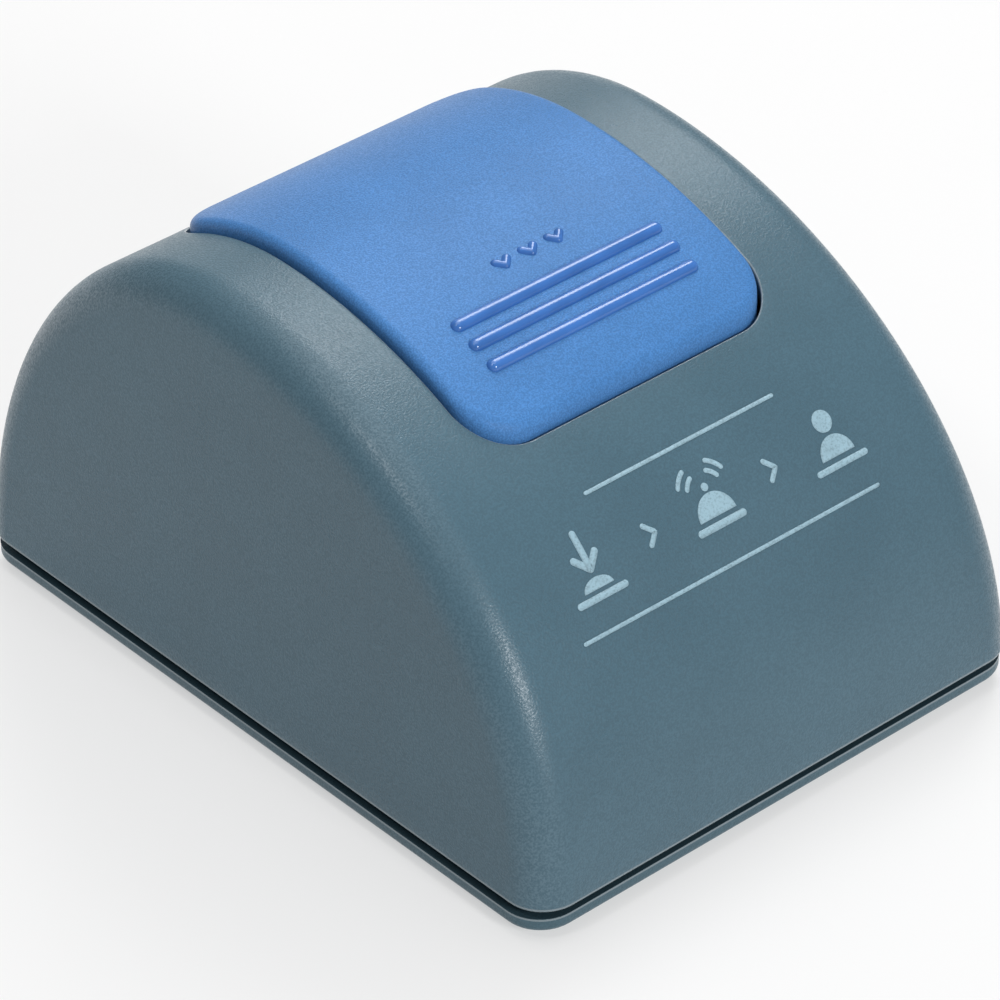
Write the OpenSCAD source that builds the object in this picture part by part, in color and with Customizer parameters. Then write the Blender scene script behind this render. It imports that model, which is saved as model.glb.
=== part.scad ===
// Counter chime: an arched case on a flat base, with a hinged push plate that wraps over its crest.
// The customer's side faces -Y and +Z is up. The origin lies under the middle of the case, on the
// surface that the feet stand on. All lengths are in millimetres and all angles in degrees.

/* [Case] */
// Width of the case along its lower edge
body_w = 80; // [78:0.5:96]
// Depth of the case along its lower edge, front to back
body_d = 108.5; // [107:0.5:124]
// Height of the arch above the lower edge of the shell
shell_h = 55.2; // [54:0.2:66]
// How far the crest of the arch lies behind the middle of the case
crest_back = 9; // [7:0.5:11]
// Inward lean of the end faces
end_draft = 3.5; // [1:0.1:4]
// Radius of the rounded edge between the arch and the ends
edge_r = 5.3; // [4:0.1:6]
// Wall thickness of the case
wall = 2.2; // [1.8:0.1:2.6]

/* [Base] */
// Thickness of the base plate
base_t = 2.15; // [2:0.05:3]
// Height of the shadow gap between the base plate and the shell
seam_gap = 1.25; // [0.8:0.05:1.6]
// How far the front and back edges of the base stand in from the shell
base_inset = 0.5; // [0.2:0.1:1]
// Radius of the rounded lower edge of the base
base_edge_r = 1; // [0.5:0.1:1.5]
// Height of the locating tongue above the floor of the base
tongue_h = 4.2; // [3:0.1:5]
// Thickness of the locating tongue
tongue_t = 1.6; // [1.2:0.1:2]
// Clearance between the tongue and the inside of the shell
tongue_gap = 0.35; // [0.3:0.05:0.5]
// Length of the screws that hold the base to the shell, under the head
base_screw_len = 12; // [9:0.5:14]

/* [Feet] */
// Radius of a rubber foot
foot_r = 4.5; // [3.5:0.1:5]
// How far a foot stands out below the base
foot_out = 1.2; // [0.8:0.1:2]
// Depth of the recess that a foot sits in
foot_sunk = 0.8; // [0.5:0.1:1]
// Distance from the ends of the case to the middle of a foot
foot_in_x = 8.5; // [7.5:0.1:9.5]
// Distance from the front and back of the case to the middle of a foot
foot_in_y = 8.75; // [8:0.05:9.5]

/* [Push plate] */
// Width of the opening for the push plate
opening_w = 47.8; // [44:0.2:50]
// Distance from the front of the case to the front edge of the opening
opening_from_front = 26.25; // [25:0.25:28]
// Distance from the back of the case to the rear edge of the opening
opening_from_back = 21.75; // [20:0.25:24]
// Corner radius of the opening
opening_corner = 7; // [5:0.1:8]
// Clearance around the push plate
plate_gap = 0.5; // [0.4:0.05:0.8]
// How far the push plate stands proud of the case
plate_proud = 1.4; // [1:0.1:2.5]
// Radius of the rounded upper edge of the push plate
plate_edge_r = 1.2; // [0.8:0.1:2]
// Depth of the push plate's skirt below the surface of the case
plate_depth = 3.6; // [3.2:0.1:4.2]
// Thickness of the push plate's top
plate_roof = 2.2; // [1.8:0.1:2.6]
// Thickness of the push plate's skirt
plate_wall = 2; // [1.6:0.1:2.4]
// Angle that the push plate turns through when it is pressed
press_angle = 2; // [1:0.1:2.2]

/* [Finger ribs] */
// Number of finger ribs
rib_n = 3; // [1:1:4]
// Length of a finger rib over its round ends
rib_len = 33.4; // [20:0.2:36]
// Radius of a finger rib
rib_r = 0.95; // [0.7:0.05:1.2]
// How far a finger rib stands out of the push plate
rib_proud = 0.75; // [0.4:0.05:0.9]
// Distance between finger ribs, front to back
rib_pitch = 3.2; // [2.8:0.1:4]
// Distance from the front edge of the push plate to the middle of the set of ribs
rib_set_back = 10.8; // [9:0.1:13]
// Number of raised marks behind the ribs
mark_n = 3; // [1:1:5]
// Width of a raised mark, which is a chevron that points to the ribs
mark_w = 3; // [2:0.1:3.4]
// Distance between raised marks
mark_pitch = 4.2; // [3.6:0.1:5]
// Distance from the front edge of the push plate to the raised marks
mark_set_back = 19; // [17:0.1:22]

/* [Hinge] */
// Radius of the hinge pin
pin_r = 1.5; // [1.2:0.05:1.8]
// Radial clearance of the push plate's knuckles on the pin
pin_gap = 0.05; // [0.02:0.01:0.1]
// Distance from the rear edge of the push plate forward to the pin
hinge_from_back = 4; // [4:0.1:6]
// Depth of the pin below the surface of the case
hinge_drop = 8.4; // [8:0.1:9.5]
// Outer radius of a knuckle
knuckle_r = 3.2; // [2.8:0.1:3.6]
// Width of a knuckle along the pin
knuckle_w = 4; // [3:0.1:5]
// Thickness of a saddle that holds the pin in the shell
saddle_t = 3; // [2.4:0.1:3.4]

/* [Switch and springs] */
// Distance from the front edge of the push plate to the switch
switch_set_back = 22.5; // [19:0.5:25]
// Side of the square switch body
switch_w = 8; // [6:0.5:10]
// Radius of the switch plunger
plunger_r = 1.75; // [1.4:0.05:2]
// How far the plunger stands above the inner bridge at rest
plunger_out = 3; // [2.6:0.1:4]
// Distance from the front edge of the push plate to the return springs
spring_set_back = 11.5; // [9.5:0.5:13]
// Distance of each return spring from the middle
spring_x = 13; // [11:0.5:15]
// Radius of a return spring, to the middle of its wire
spring_r = 3.05; // [2.6:0.05:3.4]
// Radius of the wire of a return spring
spring_wire_r = 0.4; // [0.3:0.05:0.5]
// Turns of a return spring
spring_turns = 5; // [3:1:5]
// Height of a return spring between its seats at rest
spring_h = 9.5; // [8.5:0.1:10]

/* [Circuit board] */
// Width of the circuit board
board_w = 50; // [48:0.5:52]
// How far the front edge of the circuit board lies behind the front edge of the inner bridge
board_front_in = 2; // [1:0.5:3]
// How far the rear edge of the circuit board lies in front of the rear edge of the inner bridge
board_back_in = 4; // [4:0.5:8]
// Thickness of the circuit board
board_t = 1.6; // [1.2:0.1:2]
// Space between the circuit board and the inner bridge
board_drop = 6; // [5.6:0.1:7]
// Thickness of the inner bridge
bridge_t = 2; // [1.6:0.1:2.4]

/* [Speaker] */
// Outer radius of the speaker
speaker_r = 18; // [16:0.5:18.5]
// Depth of the speaker's basket
basket_h = 9; // [7:0.5:11]
// Depth of the speaker's magnet
magnet_h = 5; // [4:0.5:7]
// Room between the front of the locating tongue and the speaker's nest
speaker_in = 2.6; // [2:0.1:5]
// Number of sound slots under the speaker
slot_n = 7; // [3:2:7]
// Width of a sound slot
slot_w = 1.8; // [1.2:0.1:2]

/* [Batteries] */
// Diameter of a cell
cell_d = 14.5; // [13.5:0.1:14.5]
// Length of a cell over its nub
cell_len = 50.5; // [48:0.5:51]
// Clearance around a cell
cell_gap = 0.4; // [0.3:0.05:0.6]
// Length of the coil that presses on a cell
coil_len = 4.6; // [4.2:0.1:5.2]
// Room between the battery holder and the collars of the rear base screws
bay_room = 1.2; // [0.8:0.1:2]
// Wall thickness of the battery holder
holder_t = 1.6; // [1.2:0.1:1.8]

/* [Hidden] */
$fn = 48;

// Steps along the arch (an odd number, so that every ring pairs front points with back points)
arch_steps = 39;
// Steps around the rounded edge of the case and around a corner or edge of the push plate
edge_steps = 5;
corner_steps = 6;
plate_edge_steps = 4;
// Steps along the straight side of the push plate
side_steps = 16;
// Sides of a raised bar and of a spring's wire, and steps around one turn of a coil
bar_sides = 24;
wire_sides = 6;
coil_steps = 8;
// Overlap that joins two pieces of one solid, and how far a cutter runs past the face that it cuts
join = 0.6;
past = 1;

// Levels from the surface that the feet stand on
floor_z = foot_out + base_t;
shell_z = floor_z + seam_gap;
front_y = -body_d / 2;
back_y = body_d / 2;
front_reach = body_d / 2 + crest_back;
back_reach = body_d / 2 - crest_back;

// Height of the arch at y, moved outward by d
function reach(y, d) = (y < crest_back ? front_reach : back_reach) + d;
function arch_z(y, d = 0) = shell_z + (shell_h + d) * sqrt(1 - pow((y - crest_back) / reach(y, d), 2));

// Push plate
opening_front_y = front_y + opening_from_front;
opening_back_y = back_y - opening_from_back;
plate_front_y = opening_front_y + plate_gap;
plate_back_y = opening_back_y - plate_gap;
plate_half = opening_w / 2 - plate_gap;
plate_corner = opening_corner - plate_gap;
plate_under = plate_proud - plate_roof;
rib_mid_y = plate_front_y + rib_set_back;
// Raised marks: radius of their bars and how far they stand out
mark_r = 0.6;
mark_proud = 0.45;
mark_y = plate_front_y + mark_set_back;
// Hooks that keep the plate in the case: size, spread and clearance under the shell
hook_w = 6;
hook_out = 1.6;
hook_t = 1.2;
hook_x = 13;
hook_clear = 0.3;
hook_z = arch_z(opening_front_y - hook_out, -wall) - hook_clear - hook_t;

// Hinge
hinge_y = plate_back_y - hinge_from_back;
hinge_z = arch_z(hinge_y) - hinge_drop;
plate_travel = (hinge_y - plate_front_y) * sin(press_angle);
saddle_wall = 2.5;
saddle_r = pin_r + saddle_wall;
saddle_gap = 1.1;
saddle_in = opening_w / 2 + saddle_gap;
saddle_out = saddle_in + saddle_t;
saddle_fit = 0.02;
knuckle_in = 1.4;
knuckle_out = plate_half - knuckle_in;
snap_ratio = 0.86;

// Inner bridge, which hangs from the shell under the plate
bridge_clear = 0.7;
bridge_top_z = arch_z(plate_front_y, -plate_depth) - plate_travel - bridge_clear;
bridge_z = bridge_top_z - bridge_t;
bridge_boss_r = 3;
bridge_boss_edge = 1.1;
bridge_boss_x = opening_w / 2 + bridge_boss_edge + bridge_boss_r;
bridge_half = bridge_boss_x + bridge_boss_r;
hook_room = 0.8;
bridge_front_y = plate_front_y + plate_wall + hook_room;
knuckle_room = 3;
bridge_back_y = hinge_y - knuckle_r - knuckle_room;
bridge_boss_front_in = 6.5;
bridge_boss_back_in = 6;
bridge_boss_front_y = bridge_front_y + bridge_boss_front_in;
bridge_boss_back_y = bridge_back_y - bridge_boss_back_in;
bridge_corner = 3;
bridge_screw_r = 1.1;
bridge_screw_len = 6;

// Screw fits
screw_fit = 0.05;
hole_fit = 0.25;
head_slot_w = 0.5;
head_slot_depth = 0.6;
head_slot_share = 0.65;
// Room past the tip of a screw, and the size of a small head in radii of its thread
screw_end = 0.6;
head_r_ratio = 2;
head_h_ratio = 1.4;

// Base screws
base_screw_r = 1.3;
base_head_r = 2.6;
base_head_h = 1.8;
base_boss_r = 3.25;
collar_r = 4.2;
collar_h = 3.25;
collar_room = 0.8;
head_sunk = 2.6;
head_recess_z = foot_out + head_sunk;
base_boss_z = floor_z + collar_h;
// Distance from the faces of the case to the inside of the locating tongue
tongue_in = wall + tongue_gap + tongue_t;
tongue_corner = 0.5;
front_screw_in = 21.25;
back_screw_x = 19;
base_screw_front = [body_w / 2 - tongue_in - collar_room - collar_r, front_y + front_screw_in];
base_screw_back = [back_screw_x, back_y - tongue_in - collar_room - collar_r];
base_screw_places = [
  base_screw_front, [-base_screw_front.x, base_screw_front.y],
  base_screw_back, [-base_screw_back.x, base_screw_back.y]
];

// Feet
foot_gap = 0.1;
foot_x = body_w / 2 - foot_in_x;
foot_y = body_d / 2 - foot_in_y;

// Circuit board, which hangs from the bridge
board_top_z = bridge_z - board_drop;
board_z = board_top_z - board_t;
board_d = bridge_back_y - board_back_in - bridge_front_y - board_front_in;
board_y = bridge_front_y + board_front_in + board_d / 2;
spacer_r = 2.6;
spacer_in = 3.5;
spacer_x = board_w / 2 - spacer_in;
spacer_y = board_d / 2 - spacer_in;
board_screw_r = 0.9;
board_screw_len = 4.4;
chip_size = [10, 6.4, 3.2];
chip_leg = 0.5;
chip_in = 8.5;
chip_y = board_y + spacer_y - chip_in;
chip_x = -12;
can_r = 2.5;
can_h = 4.8;
can_x = 12;
can_pitch = 7;
socket_size = [7.5, 5.8, 6];
socket_mouth = 0.8;
socket_in = 8;
socket_x = board_w / 2 - socket_in;
battery_socket_in = 5.3;
battery_socket_y = board_y + spacer_y - battery_socket_in;
speaker_socket_in = 13.5;
speaker_socket_y = board_y - spacer_y + speaker_socket_in;
pin_pitch = 2.5;

// Switch
switch_y = plate_front_y + switch_set_back;
switch_gap = 0.3;
switch_h = board_drop - switch_gap;
switch_top_z = board_top_z + switch_h;
plunger_fit = 0.1;
plunger_top_z = bridge_top_z + plunger_out;
plunger_travel = (hinge_y - switch_y) * sin(press_angle);
plunger_tail = 1.8;
plunger_well = 0.6;
plunger_room = 1;
plunger_hole_r = plunger_r + plunger_room;
post_r = 3;
post_clear = 0.3;

// Return springs
spring_y = plate_front_y + spring_set_back;
spring_seat_clear = 0.05;
cup_gap = 0.4;
cup_wall = 1.1;
cup_r = spring_r + spring_wire_r + cup_gap + cup_wall;
cup_h = 2;
seat_rim = 0.8;
seat_r = spring_r + spring_wire_r + seat_rim;
pilot_gap = 0.4;
pilot_r = spring_r - spring_wire_r - pilot_gap;
pilot_h = 4;

// Speaker, which faces down on the base
nest_gap = 0.3;
nest_t = 1.2;
nest_h = 1;
nest_r = speaker_r + nest_gap;
speaker_y = front_y + tongue_in + speaker_in + nest_r + nest_t;
screen_t = 0.3;
rim_z = floor_z + screen_t;
rim_h = 1.2;
rim_w = 2.4;
basket_t = 0.8;
neck_in = 6.85;
neck_r = speaker_r - neck_in;
pole_r = 4.7;
pole_drop = 2;
coil_gap = 0.6;
coil_hole_r = pole_r + coil_gap;
magnet_in = 0.2;
magnet_r = neck_r - magnet_in;
cone_t = 0.4;
cone_clear = 0.2;
cone_room = 0.6;
cone_drop = 3;
ring_t = 1.4;
ring_gap = 0.2;
ring_over = 0.8;
ring_r = speaker_r + ring_over;
ear_r = 2.8;
ear_out = 3.5;
ear_at = speaker_r + ear_out;
ear_angles = [45, 135, 225, 315];
speaker_screw_r = 0.95;
speaker_screw_len = 4.2;
slot_pitch = 4;
slot_in = 4.5;
slot_reach = speaker_r - slot_in;
tag_size = [1.2, 7, 2.4];
tag_out = 0.8;
tag_r = neck_r + tag_out;

// Battery bay
contact_t = 0.6;
contact_touch = 0.05;
bay_x = cell_len + 2 * (contact_t + contact_touch) + coil_len;
bay_d = 2 * cell_d + 3 * cell_gap;
bay_y = base_screw_back.y - collar_r - bay_room - holder_t - bay_d / 2;
cell_lift = 0.25;
cell_y = (cell_d + cell_gap) / 2;
cell_z = floor_z + cell_lift + cell_d / 2;
roof_z = floor_z + cell_lift + cell_d + cell_gap;
holder_top_z = roof_z + holder_t;
nub_r = 2.7;
nub_len = 1.2;
cell_from_contact = bay_x / 2 - contact_t - contact_touch;
contact_w = 10;
contact_low = 1.6;
contact_high = 0.6;
tab_w = 3;
tab_up = 2;
tab_slot = 0.3;
coil_wire_r = 0.35;
coil_turns = 3;
coil_r_wide = 4.2;
coil_r_narrow = 2.6;
divider_t = 1.2;
divider_h = 3;
holder_ear_r = 2.8;
holder_ear_out = 3;
holder_ear_t = 2;
holder_boss_h = 2.5;
holder_screw_r = 0.95;
holder_screw_len = 5;
holder_ear_y = bay_d / 2 + holder_t + holder_ear_out;
holder_ear_x = 23;
holder_ear_places = [[-holder_ear_x, -holder_ear_y], [holder_ear_x, -holder_ear_y], [0, holder_ear_y]];

// Battery cover
cover_gap = 0.3;
cover_corner = 1.5;
hook_tab_w = 8;
hook_tab_x = 14;
hook_tab_out = 2.4;
hook_tab_t = 1.4;
hook_tab_lift = 0.1;
tab_notch_gap = 0.8;
tab_swing = 1.8;
tab_notch_h = hook_tab_t + tab_swing;
latch_w = 12;
latch_t = 1.2;
latch_h = 2.8;
latch_in = 0.4;
scoop_r = 9;
scoop_w = 12;
scoop_depth = 0.9;
scoop_in = 4;

// Leads
lead_r = 0.6;
lead_sides = 8;
lead_steps = 4;
lead_touch = 0.3;
lead_rise = 1.7;
lead_clear = 0.4;
lead_ref = [1, 0.12, 0.06];

// Flat list from a list of lists
function flat(lists) = [for (list = lists) for (item = list) item];

// Faces of a body that is lofted through rings of n points: sides, then both caps in strips
function loft_sides(rings, n) = [
  for (k = [0 : rings - 2]) for (i = [0 : n - 1]) let (j = (i + 1) % n) each [
    [k * n + i, k * n + j, (k + 1) * n + j],
    [k * n + i, (k + 1) * n + j, (k + 1) * n + i]
  ]
];
function loft_cap(start, n) = [
  for (i = [0 : n / 2 - 2]) each [
    [start + i, start + n - 1 - i, start + i + 1],
    [start + i + 1, start + n - 1 - i, start + n - 2 - i]
  ]
];
function turned(faces) = [for (face = faces) [face[2], face[1], face[0]]];

// A closed body through rings that all hold the same even number of points, in turn clockwise
// as seen from the last ring
module loft(rings) {
  n = len(rings[0]);
  last = (len(rings) - 1) * n;
  faces = concat(loft_sides(len(rings), n), loft_cap(0, n), turned(loft_cap(last, n)));
  polyhedron(points = flat(rings), faces = faces, convexity = 8);
}

// One ring of the case, moved outward by d: a slice whose edge is rounded at angle t, low points at drop
function dome_ring(side, d, r, t, drop) =
  let (inset = r * (1 - cos(t)), end_inset = r * (1 - sin(t)))
  let (half = body_w / 2 + d / cos(end_draft) - end_inset)
  let (arc = [
    for (k = [0 : arch_steps])
      let (u = 180 * k / arch_steps)
      let (span = u < 90 ? front_reach : back_reach)
      let (rise = (shell_h + d - inset) * sin(u))
      [side * (half - rise * tan(end_draft)), crest_back - (span + d - inset) * cos(u), shell_z + rise]
  ])
  drop > 0
    ? concat([arc[0] - [0, 0, drop]], arc, [arc[arch_steps] - [0, 0, drop]])
    : arc;

// The whole form of the case, moved outward by d and carried below its lower edge by drop
module dome(d, drop = 0) {
  r = edge_r + d;
  steps = [for (k = [0 : edge_steps]) 90 * k / edge_steps];
  left = [for (t = steps) dome_ring(-1, d, r, 90 - t, drop)];
  right = [for (t = steps) dome_ring(1, d, r, t, drop)];
  loft(concat(left, right));
}

// Plan outline of the push plate, set in by inset, as points on the plate's arch moved outward by d
function plate_ring(inset, d, down = 0, flat_z = undef) =
  let (half = plate_half - inset, r = plate_corner - inset)
  let (first = plate_front_y + inset + r, last = plate_back_y - inset - r)
  let (angles = [for (k = [0 : corner_steps]) 90 * k / corner_steps])
  let (right = concat(
    [for (a = angles) [half - r + r * sin(a), first - r * cos(a)]],
    [for (k = [1 : side_steps - 1]) [half, first + (last - first) * k / side_steps]],
    [for (a = angles) [half - r + r * cos(a), last + r * sin(a)]]
  ))
  let (n = len(right))
  let (around = concat([for (p = right) [-p.x, p.y]], [for (k = [0 : n - 1]) right[n - 1 - k]]))
  [for (p = around) [p.x, p.y, is_undef(flat_z) ? arch_z(p.y, d) - down : flat_z]];

// Outer form of the push plate with its rounded upper edge
module plate_form() {
  edges = [
    for (k = [0 : plate_edge_steps])
      let (t = 90 * k / plate_edge_steps)
      plate_ring(plate_edge_r * (1 - cos(t)), plate_proud, plate_edge_r * (1 - sin(t)))
  ];
  loft(concat([plate_ring(0, -plate_depth)], edges));
}

// Space under the push plate's top, inside its skirt
module plate_hollow() {
  loft([plate_ring(plate_wall, -plate_depth - past), plate_ring(plate_wall, plate_under)]);
}

// Everything that lies under the middle of the push plate's top, down to the bridge
module plate_core() {
  loft([plate_ring(plate_wall / 2, 0, 0, bridge_top_z), plate_ring(plate_wall / 2, plate_under + join)]);
}

// Flat outline with round corners, about the origin
module round_rect(w, d, r) {
  square([w - 2 * r, d], center = true);
  square([w, d - 2 * r], center = true);
  for (x = [-1, 1], y = [-1, 1]) translate([x * (w / 2 - r), y * (d / 2 - r)]) circle(r);
}

// Section of a plate whose two lower edges are rounded
module edge_section(w, h, r) {
  translate([-w / 2 + r, 0]) square([w - 2 * r, h]);
  translate([-w / 2, r]) square([w, h - r]);
  for (x = [-1, 1]) translate([x * (w / 2 - r), r]) circle(r);
}

// Plate with round corners and a rounded lower edge, standing on z = 0
module round_plate(w, d, h, corner, r) {
  rotate([90, 0, 90]) linear_extrude(w - 2 * corner, center = true) edge_section(d, h, r);
  rotate([90, 0, 0]) linear_extrude(d - 2 * corner, center = true) edge_section(w, h, r);
  for (x = [-1, 1], y = [-1, 1]) translate([x * (w / 2 - corner), y * (d / 2 - corner), 0])
    rotate_extrude() intersection() {
      edge_section(2 * corner, h, r);
      square([corner, h]);
    }
}

// Round-ended slot along X, cut upward from z = 0
module slot(length, width, h) {
  linear_extrude(h) {
    square([length - width, width], center = true);
    for (x = [-1, 1]) translate([x * (length - width) / 2, 0]) circle(width / 2);
  }
}

// Pan-head screw along +Z with its seat at z = 0 and a cross recess in its head
module screw(r, length, head_r, head_h) {
  cylinder(r = r, h = length);
  difference() {
    translate([0, 0, -head_h]) cylinder(r = head_r, h = head_h);
    for (turn = [0, 90]) rotate(turn)
      translate([0, 0, -head_h])
        cube([2 * head_slot_share * head_r, head_slot_w, 2 * head_slot_depth], center = true);
  }
}

// Unit vector, and a round tube that is swept along a path
function unit(v) = v / norm(v);
function tangent(path, k) = unit(path[min(k + 1, len(path) - 1)] - path[max(k - 1, 0)]);
module tube(path, r, sides, ref) {
  rings = [
    for (k = [0 : len(path) - 1])
      let (along = tangent(path, k))
      let (across = unit(cross(along, ref)))
      let (up = cross(along, across))
      [for (i = [0 : sides - 1]) let (a = 360 * i / sides) path[k] + r * (cos(a) * across - sin(a) * up)]
  ];
  loft(rings);
}

// Pan-head screw of thread radius r whose head keeps to the small head's ratios
module small_screw(r, length) {
  screw(r, length, head_r_ratio * r, head_h_ratio * r);
}

// Path of a coil along +Z from z = 0 that narrows from r_low to r_high
function coil_path(r_low, r_high, h, turns) = [
  for (k = [0 : coil_steps * turns])
    let (share = k / (coil_steps * turns), turn = 360 * k / coil_steps)
    let (r = r_low + (r_high - r_low) * share)
    [r * cos(turn), r * sin(turn), h * share]
];
// Least distance between points of a path that lie half a turn or more apart, less the wire
function least_gap(path, r) = let (half = coil_steps / 2, last = len(path) - 1) min([
  for (i = [0 : last - half]) for (j = [i + half : last]) norm(path[i] - path[j])
]) - 2 * r;

// Smooth curve through the points of a lead's route
function bend(a, b, c, d, t) = 0.5 * (2 * b + (c - a) * t + (2 * a - 5 * b + 4 * c - d) * t * t
  + (3 * b - a - 3 * c + d) * t * t * t);
function smooth(route) = let (last = len(route) - 1) concat(
  [for (k = [0 : last - 1]) for (s = [0 : lead_steps - 1])
    bend(route[max(k - 1, 0)], route[k], route[k + 1], route[min(k + 2, last)], s / lead_steps)],
  [route[last]]
);

// Opening for the push plate, upright through the shell
module plate_opening() {
  translate([0, (opening_front_y + opening_back_y) / 2, hinge_z - knuckle_r])
    linear_extrude(shell_h)
      round_rect(opening_w, opening_back_y - opening_front_y, opening_corner);
}

// Bosses and saddles that hang from the shell's inside
module shell_bosses() {
  for (p = base_screw_places) translate([p.x, p.y, base_boss_z]) cylinder(r = base_boss_r, h = shell_h);
  for (x = [-1, 1], y = [bridge_boss_front_y, bridge_boss_back_y])
    translate([x * bridge_boss_x, y, bridge_top_z]) cylinder(r = bridge_boss_r, h = shell_h);
  for (side = [-1, 1]) translate([side * (saddle_in + saddle_t / 2), hinge_y, hinge_z]) {
    rotate([0, 90, 0]) cylinder(r = saddle_r, h = saddle_t, center = true);
    translate([-saddle_t / 2, -saddle_r, 0]) cube([saddle_t, 2 * saddle_r, shell_h]);
  }
}

// Bores of the bosses, and the snap-in seats of the hinge pin
module shell_bores() {
  base_bore_h = head_recess_z + base_screw_len + screw_end - base_boss_z;
  for (p = base_screw_places) translate([p.x, p.y, base_boss_z - past])
    cylinder(r = base_screw_r + screw_fit, h = base_bore_h + past);
  for (x = [-1, 1], y = [bridge_boss_front_y, bridge_boss_back_y])
    translate([x * bridge_boss_x, y, bridge_top_z - past])
      cylinder(r = bridge_screw_r + screw_fit, h = bridge_screw_len + screw_end + past - bridge_t);
  for (side = [-1, 1]) translate([side * (saddle_in + saddle_t / 2), hinge_y, hinge_z]) {
    rotate([0, 90, 0]) cylinder(r = pin_r + saddle_fit, h = saddle_t + 2 * join, center = true);
    translate([0, 0, -saddle_r])
      cube([saddle_t + 2 * join, 2 * snap_ratio * pin_r, 2 * saddle_r], center = true);
  }
}

module top_shell() {
  color("slategray") difference() {
    union() {
      difference() {
        dome(0);
        dome(-wall, past);
        plate_opening();
      }
      intersection() {
        shell_bosses();
        dome(-wall / 2);
      }
    }
    shell_bores();
  }
}

// Flat outline of the locating tongue, set in by inset
module tongue_outline(inset) {
  all = wall + tongue_gap + inset;
  round_rect(body_w - 2 * all, body_d - 2 * all, max(edge_r - all, tongue_corner));
}

module base_plate() {
  color("dimgray") difference() {
    union() {
      translate([0, 0, foot_out]) round_plate(body_w, body_d - 2 * base_inset, base_t, edge_r, base_edge_r);
      translate([0, 0, floor_z - join]) linear_extrude(tongue_h + join) difference() {
        tongue_outline(0);
        tongue_outline(tongue_t);
      }
      for (p = base_screw_places) translate([p.x, p.y, floor_z - join])
        cylinder(r = collar_r, h = collar_h + join);
      translate([0, speaker_y, floor_z - join]) cylinder(r = nest_r + nest_t, h = nest_h + join);
      for (a = ear_angles) translate([ear_at * cos(a), speaker_y + ear_at * sin(a), floor_z - join])
        cylinder(r = ear_r, h = screen_t + rim_h + join);
      for (p = holder_ear_places) translate([p.x, bay_y + p.y, floor_z - join])
        cylinder(r = holder_ear_r, h = holder_boss_h + join);
    }
    for (p = base_screw_places) translate([p.x, p.y, 0]) {
      cylinder(r = base_head_r + hole_fit, h = head_recess_z);
      cylinder(r = base_screw_r + hole_fit, h = base_boss_z + past);
    }
    for (x = [-1, 1], y = [-1, 1]) translate([x * foot_x, y * foot_y, 0])
      cylinder(r = foot_r + foot_gap, h = foot_out + foot_sunk);
    translate([0, speaker_y, floor_z]) cylinder(r = nest_r, h = nest_h + past);
    for (k = [0 : slot_n - 1]) {
      across = (k - (slot_n - 1) / 2) * slot_pitch;
      translate([0, speaker_y + across, 0])
        slot(2 * sqrt(pow(slot_reach, 2) - pow(across, 2)), slot_w, floor_z + past);
    }
    for (a = ear_angles) translate([ear_at * cos(a), speaker_y + ear_at * sin(a), rim_z + rim_h + ring_t])
      mirror([0, 0, 1]) cylinder(r = speaker_screw_r + screw_fit, h = speaker_screw_len + screw_fit);
    for (p = holder_ear_places) translate([p.x, bay_y + p.y, floor_z + holder_boss_h + holder_ear_t])
      mirror([0, 0, 1]) cylinder(r = holder_screw_r + screw_fit, h = holder_screw_len + screw_fit);
    translate([0, bay_y, 0])
      linear_extrude(floor_z + past) round_rect(bay_x, bay_d, cover_corner + cover_gap);
  }
}

module rubber_feet() {
  color("black") for (x = [-1, 1], y = [-1, 1]) translate([x * foot_x, y * foot_y, 0])
    cylinder(r = foot_r, h = foot_out + foot_sunk);
}

module base_screws() {
  color("silver") for (p = base_screw_places) translate([p.x, p.y, head_recess_z])
    screw(base_screw_r, base_screw_len, base_head_r, base_head_h);
}

// Bar along X with round ends, about the origin
module bar(length, r) {
  half = length / 2 - r;
  rotate([0, 90, 0]) rotate_extrude($fn = bar_sides) intersection() {
    union() {
      square([2 * r, 2 * half], center = true);
      for (end = [-1, 1]) translate([0, end * half]) circle(r);
    }
    translate([0, -length]) square([length, 2 * length]);
  }
}

// Finger rib across the push plate at y
module finger_rib(y) {
  translate([0, y, arch_z(y, plate_proud + rib_proud - rib_r)]) bar(rib_len, rib_r);
}

// Raised chevron at x: two bars at right angles that lie in the slope of the push plate
module raised_mark(x) {
  d = plate_proud + mark_proud - mark_r;
  slope = atan((arch_z(mark_y + mark_r, d) - arch_z(mark_y - mark_r, d)) / (2 * mark_r));
  across = mark_w / 2 - mark_r;
  translate([x, mark_y, arch_z(mark_y, d)]) rotate([slope, 0, 0]) for (side = [-1, 1])
    translate([side * across / 2, 0, 0]) rotate(side * 45) bar(across * sqrt(2) + 2 * mark_r, mark_r);
}

// Works under the push plate: knuckles, switch post, spring seats
module plate_works() {
  for (side = [-1, 1]) translate([side * (knuckle_out - knuckle_w / 2), hinge_y, hinge_z])
    translate([-knuckle_w / 2, -knuckle_r, 0]) cube([knuckle_w, 2 * knuckle_r, shell_h]);
  translate([0, switch_y, plunger_top_z + post_clear]) cylinder(r = post_r, h = shell_h);
  for (x = [-1, 1]) translate([x * spring_x, spring_y, bridge_top_z + spring_h])
    cylinder(r = seat_r, h = shell_h);
}

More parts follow.
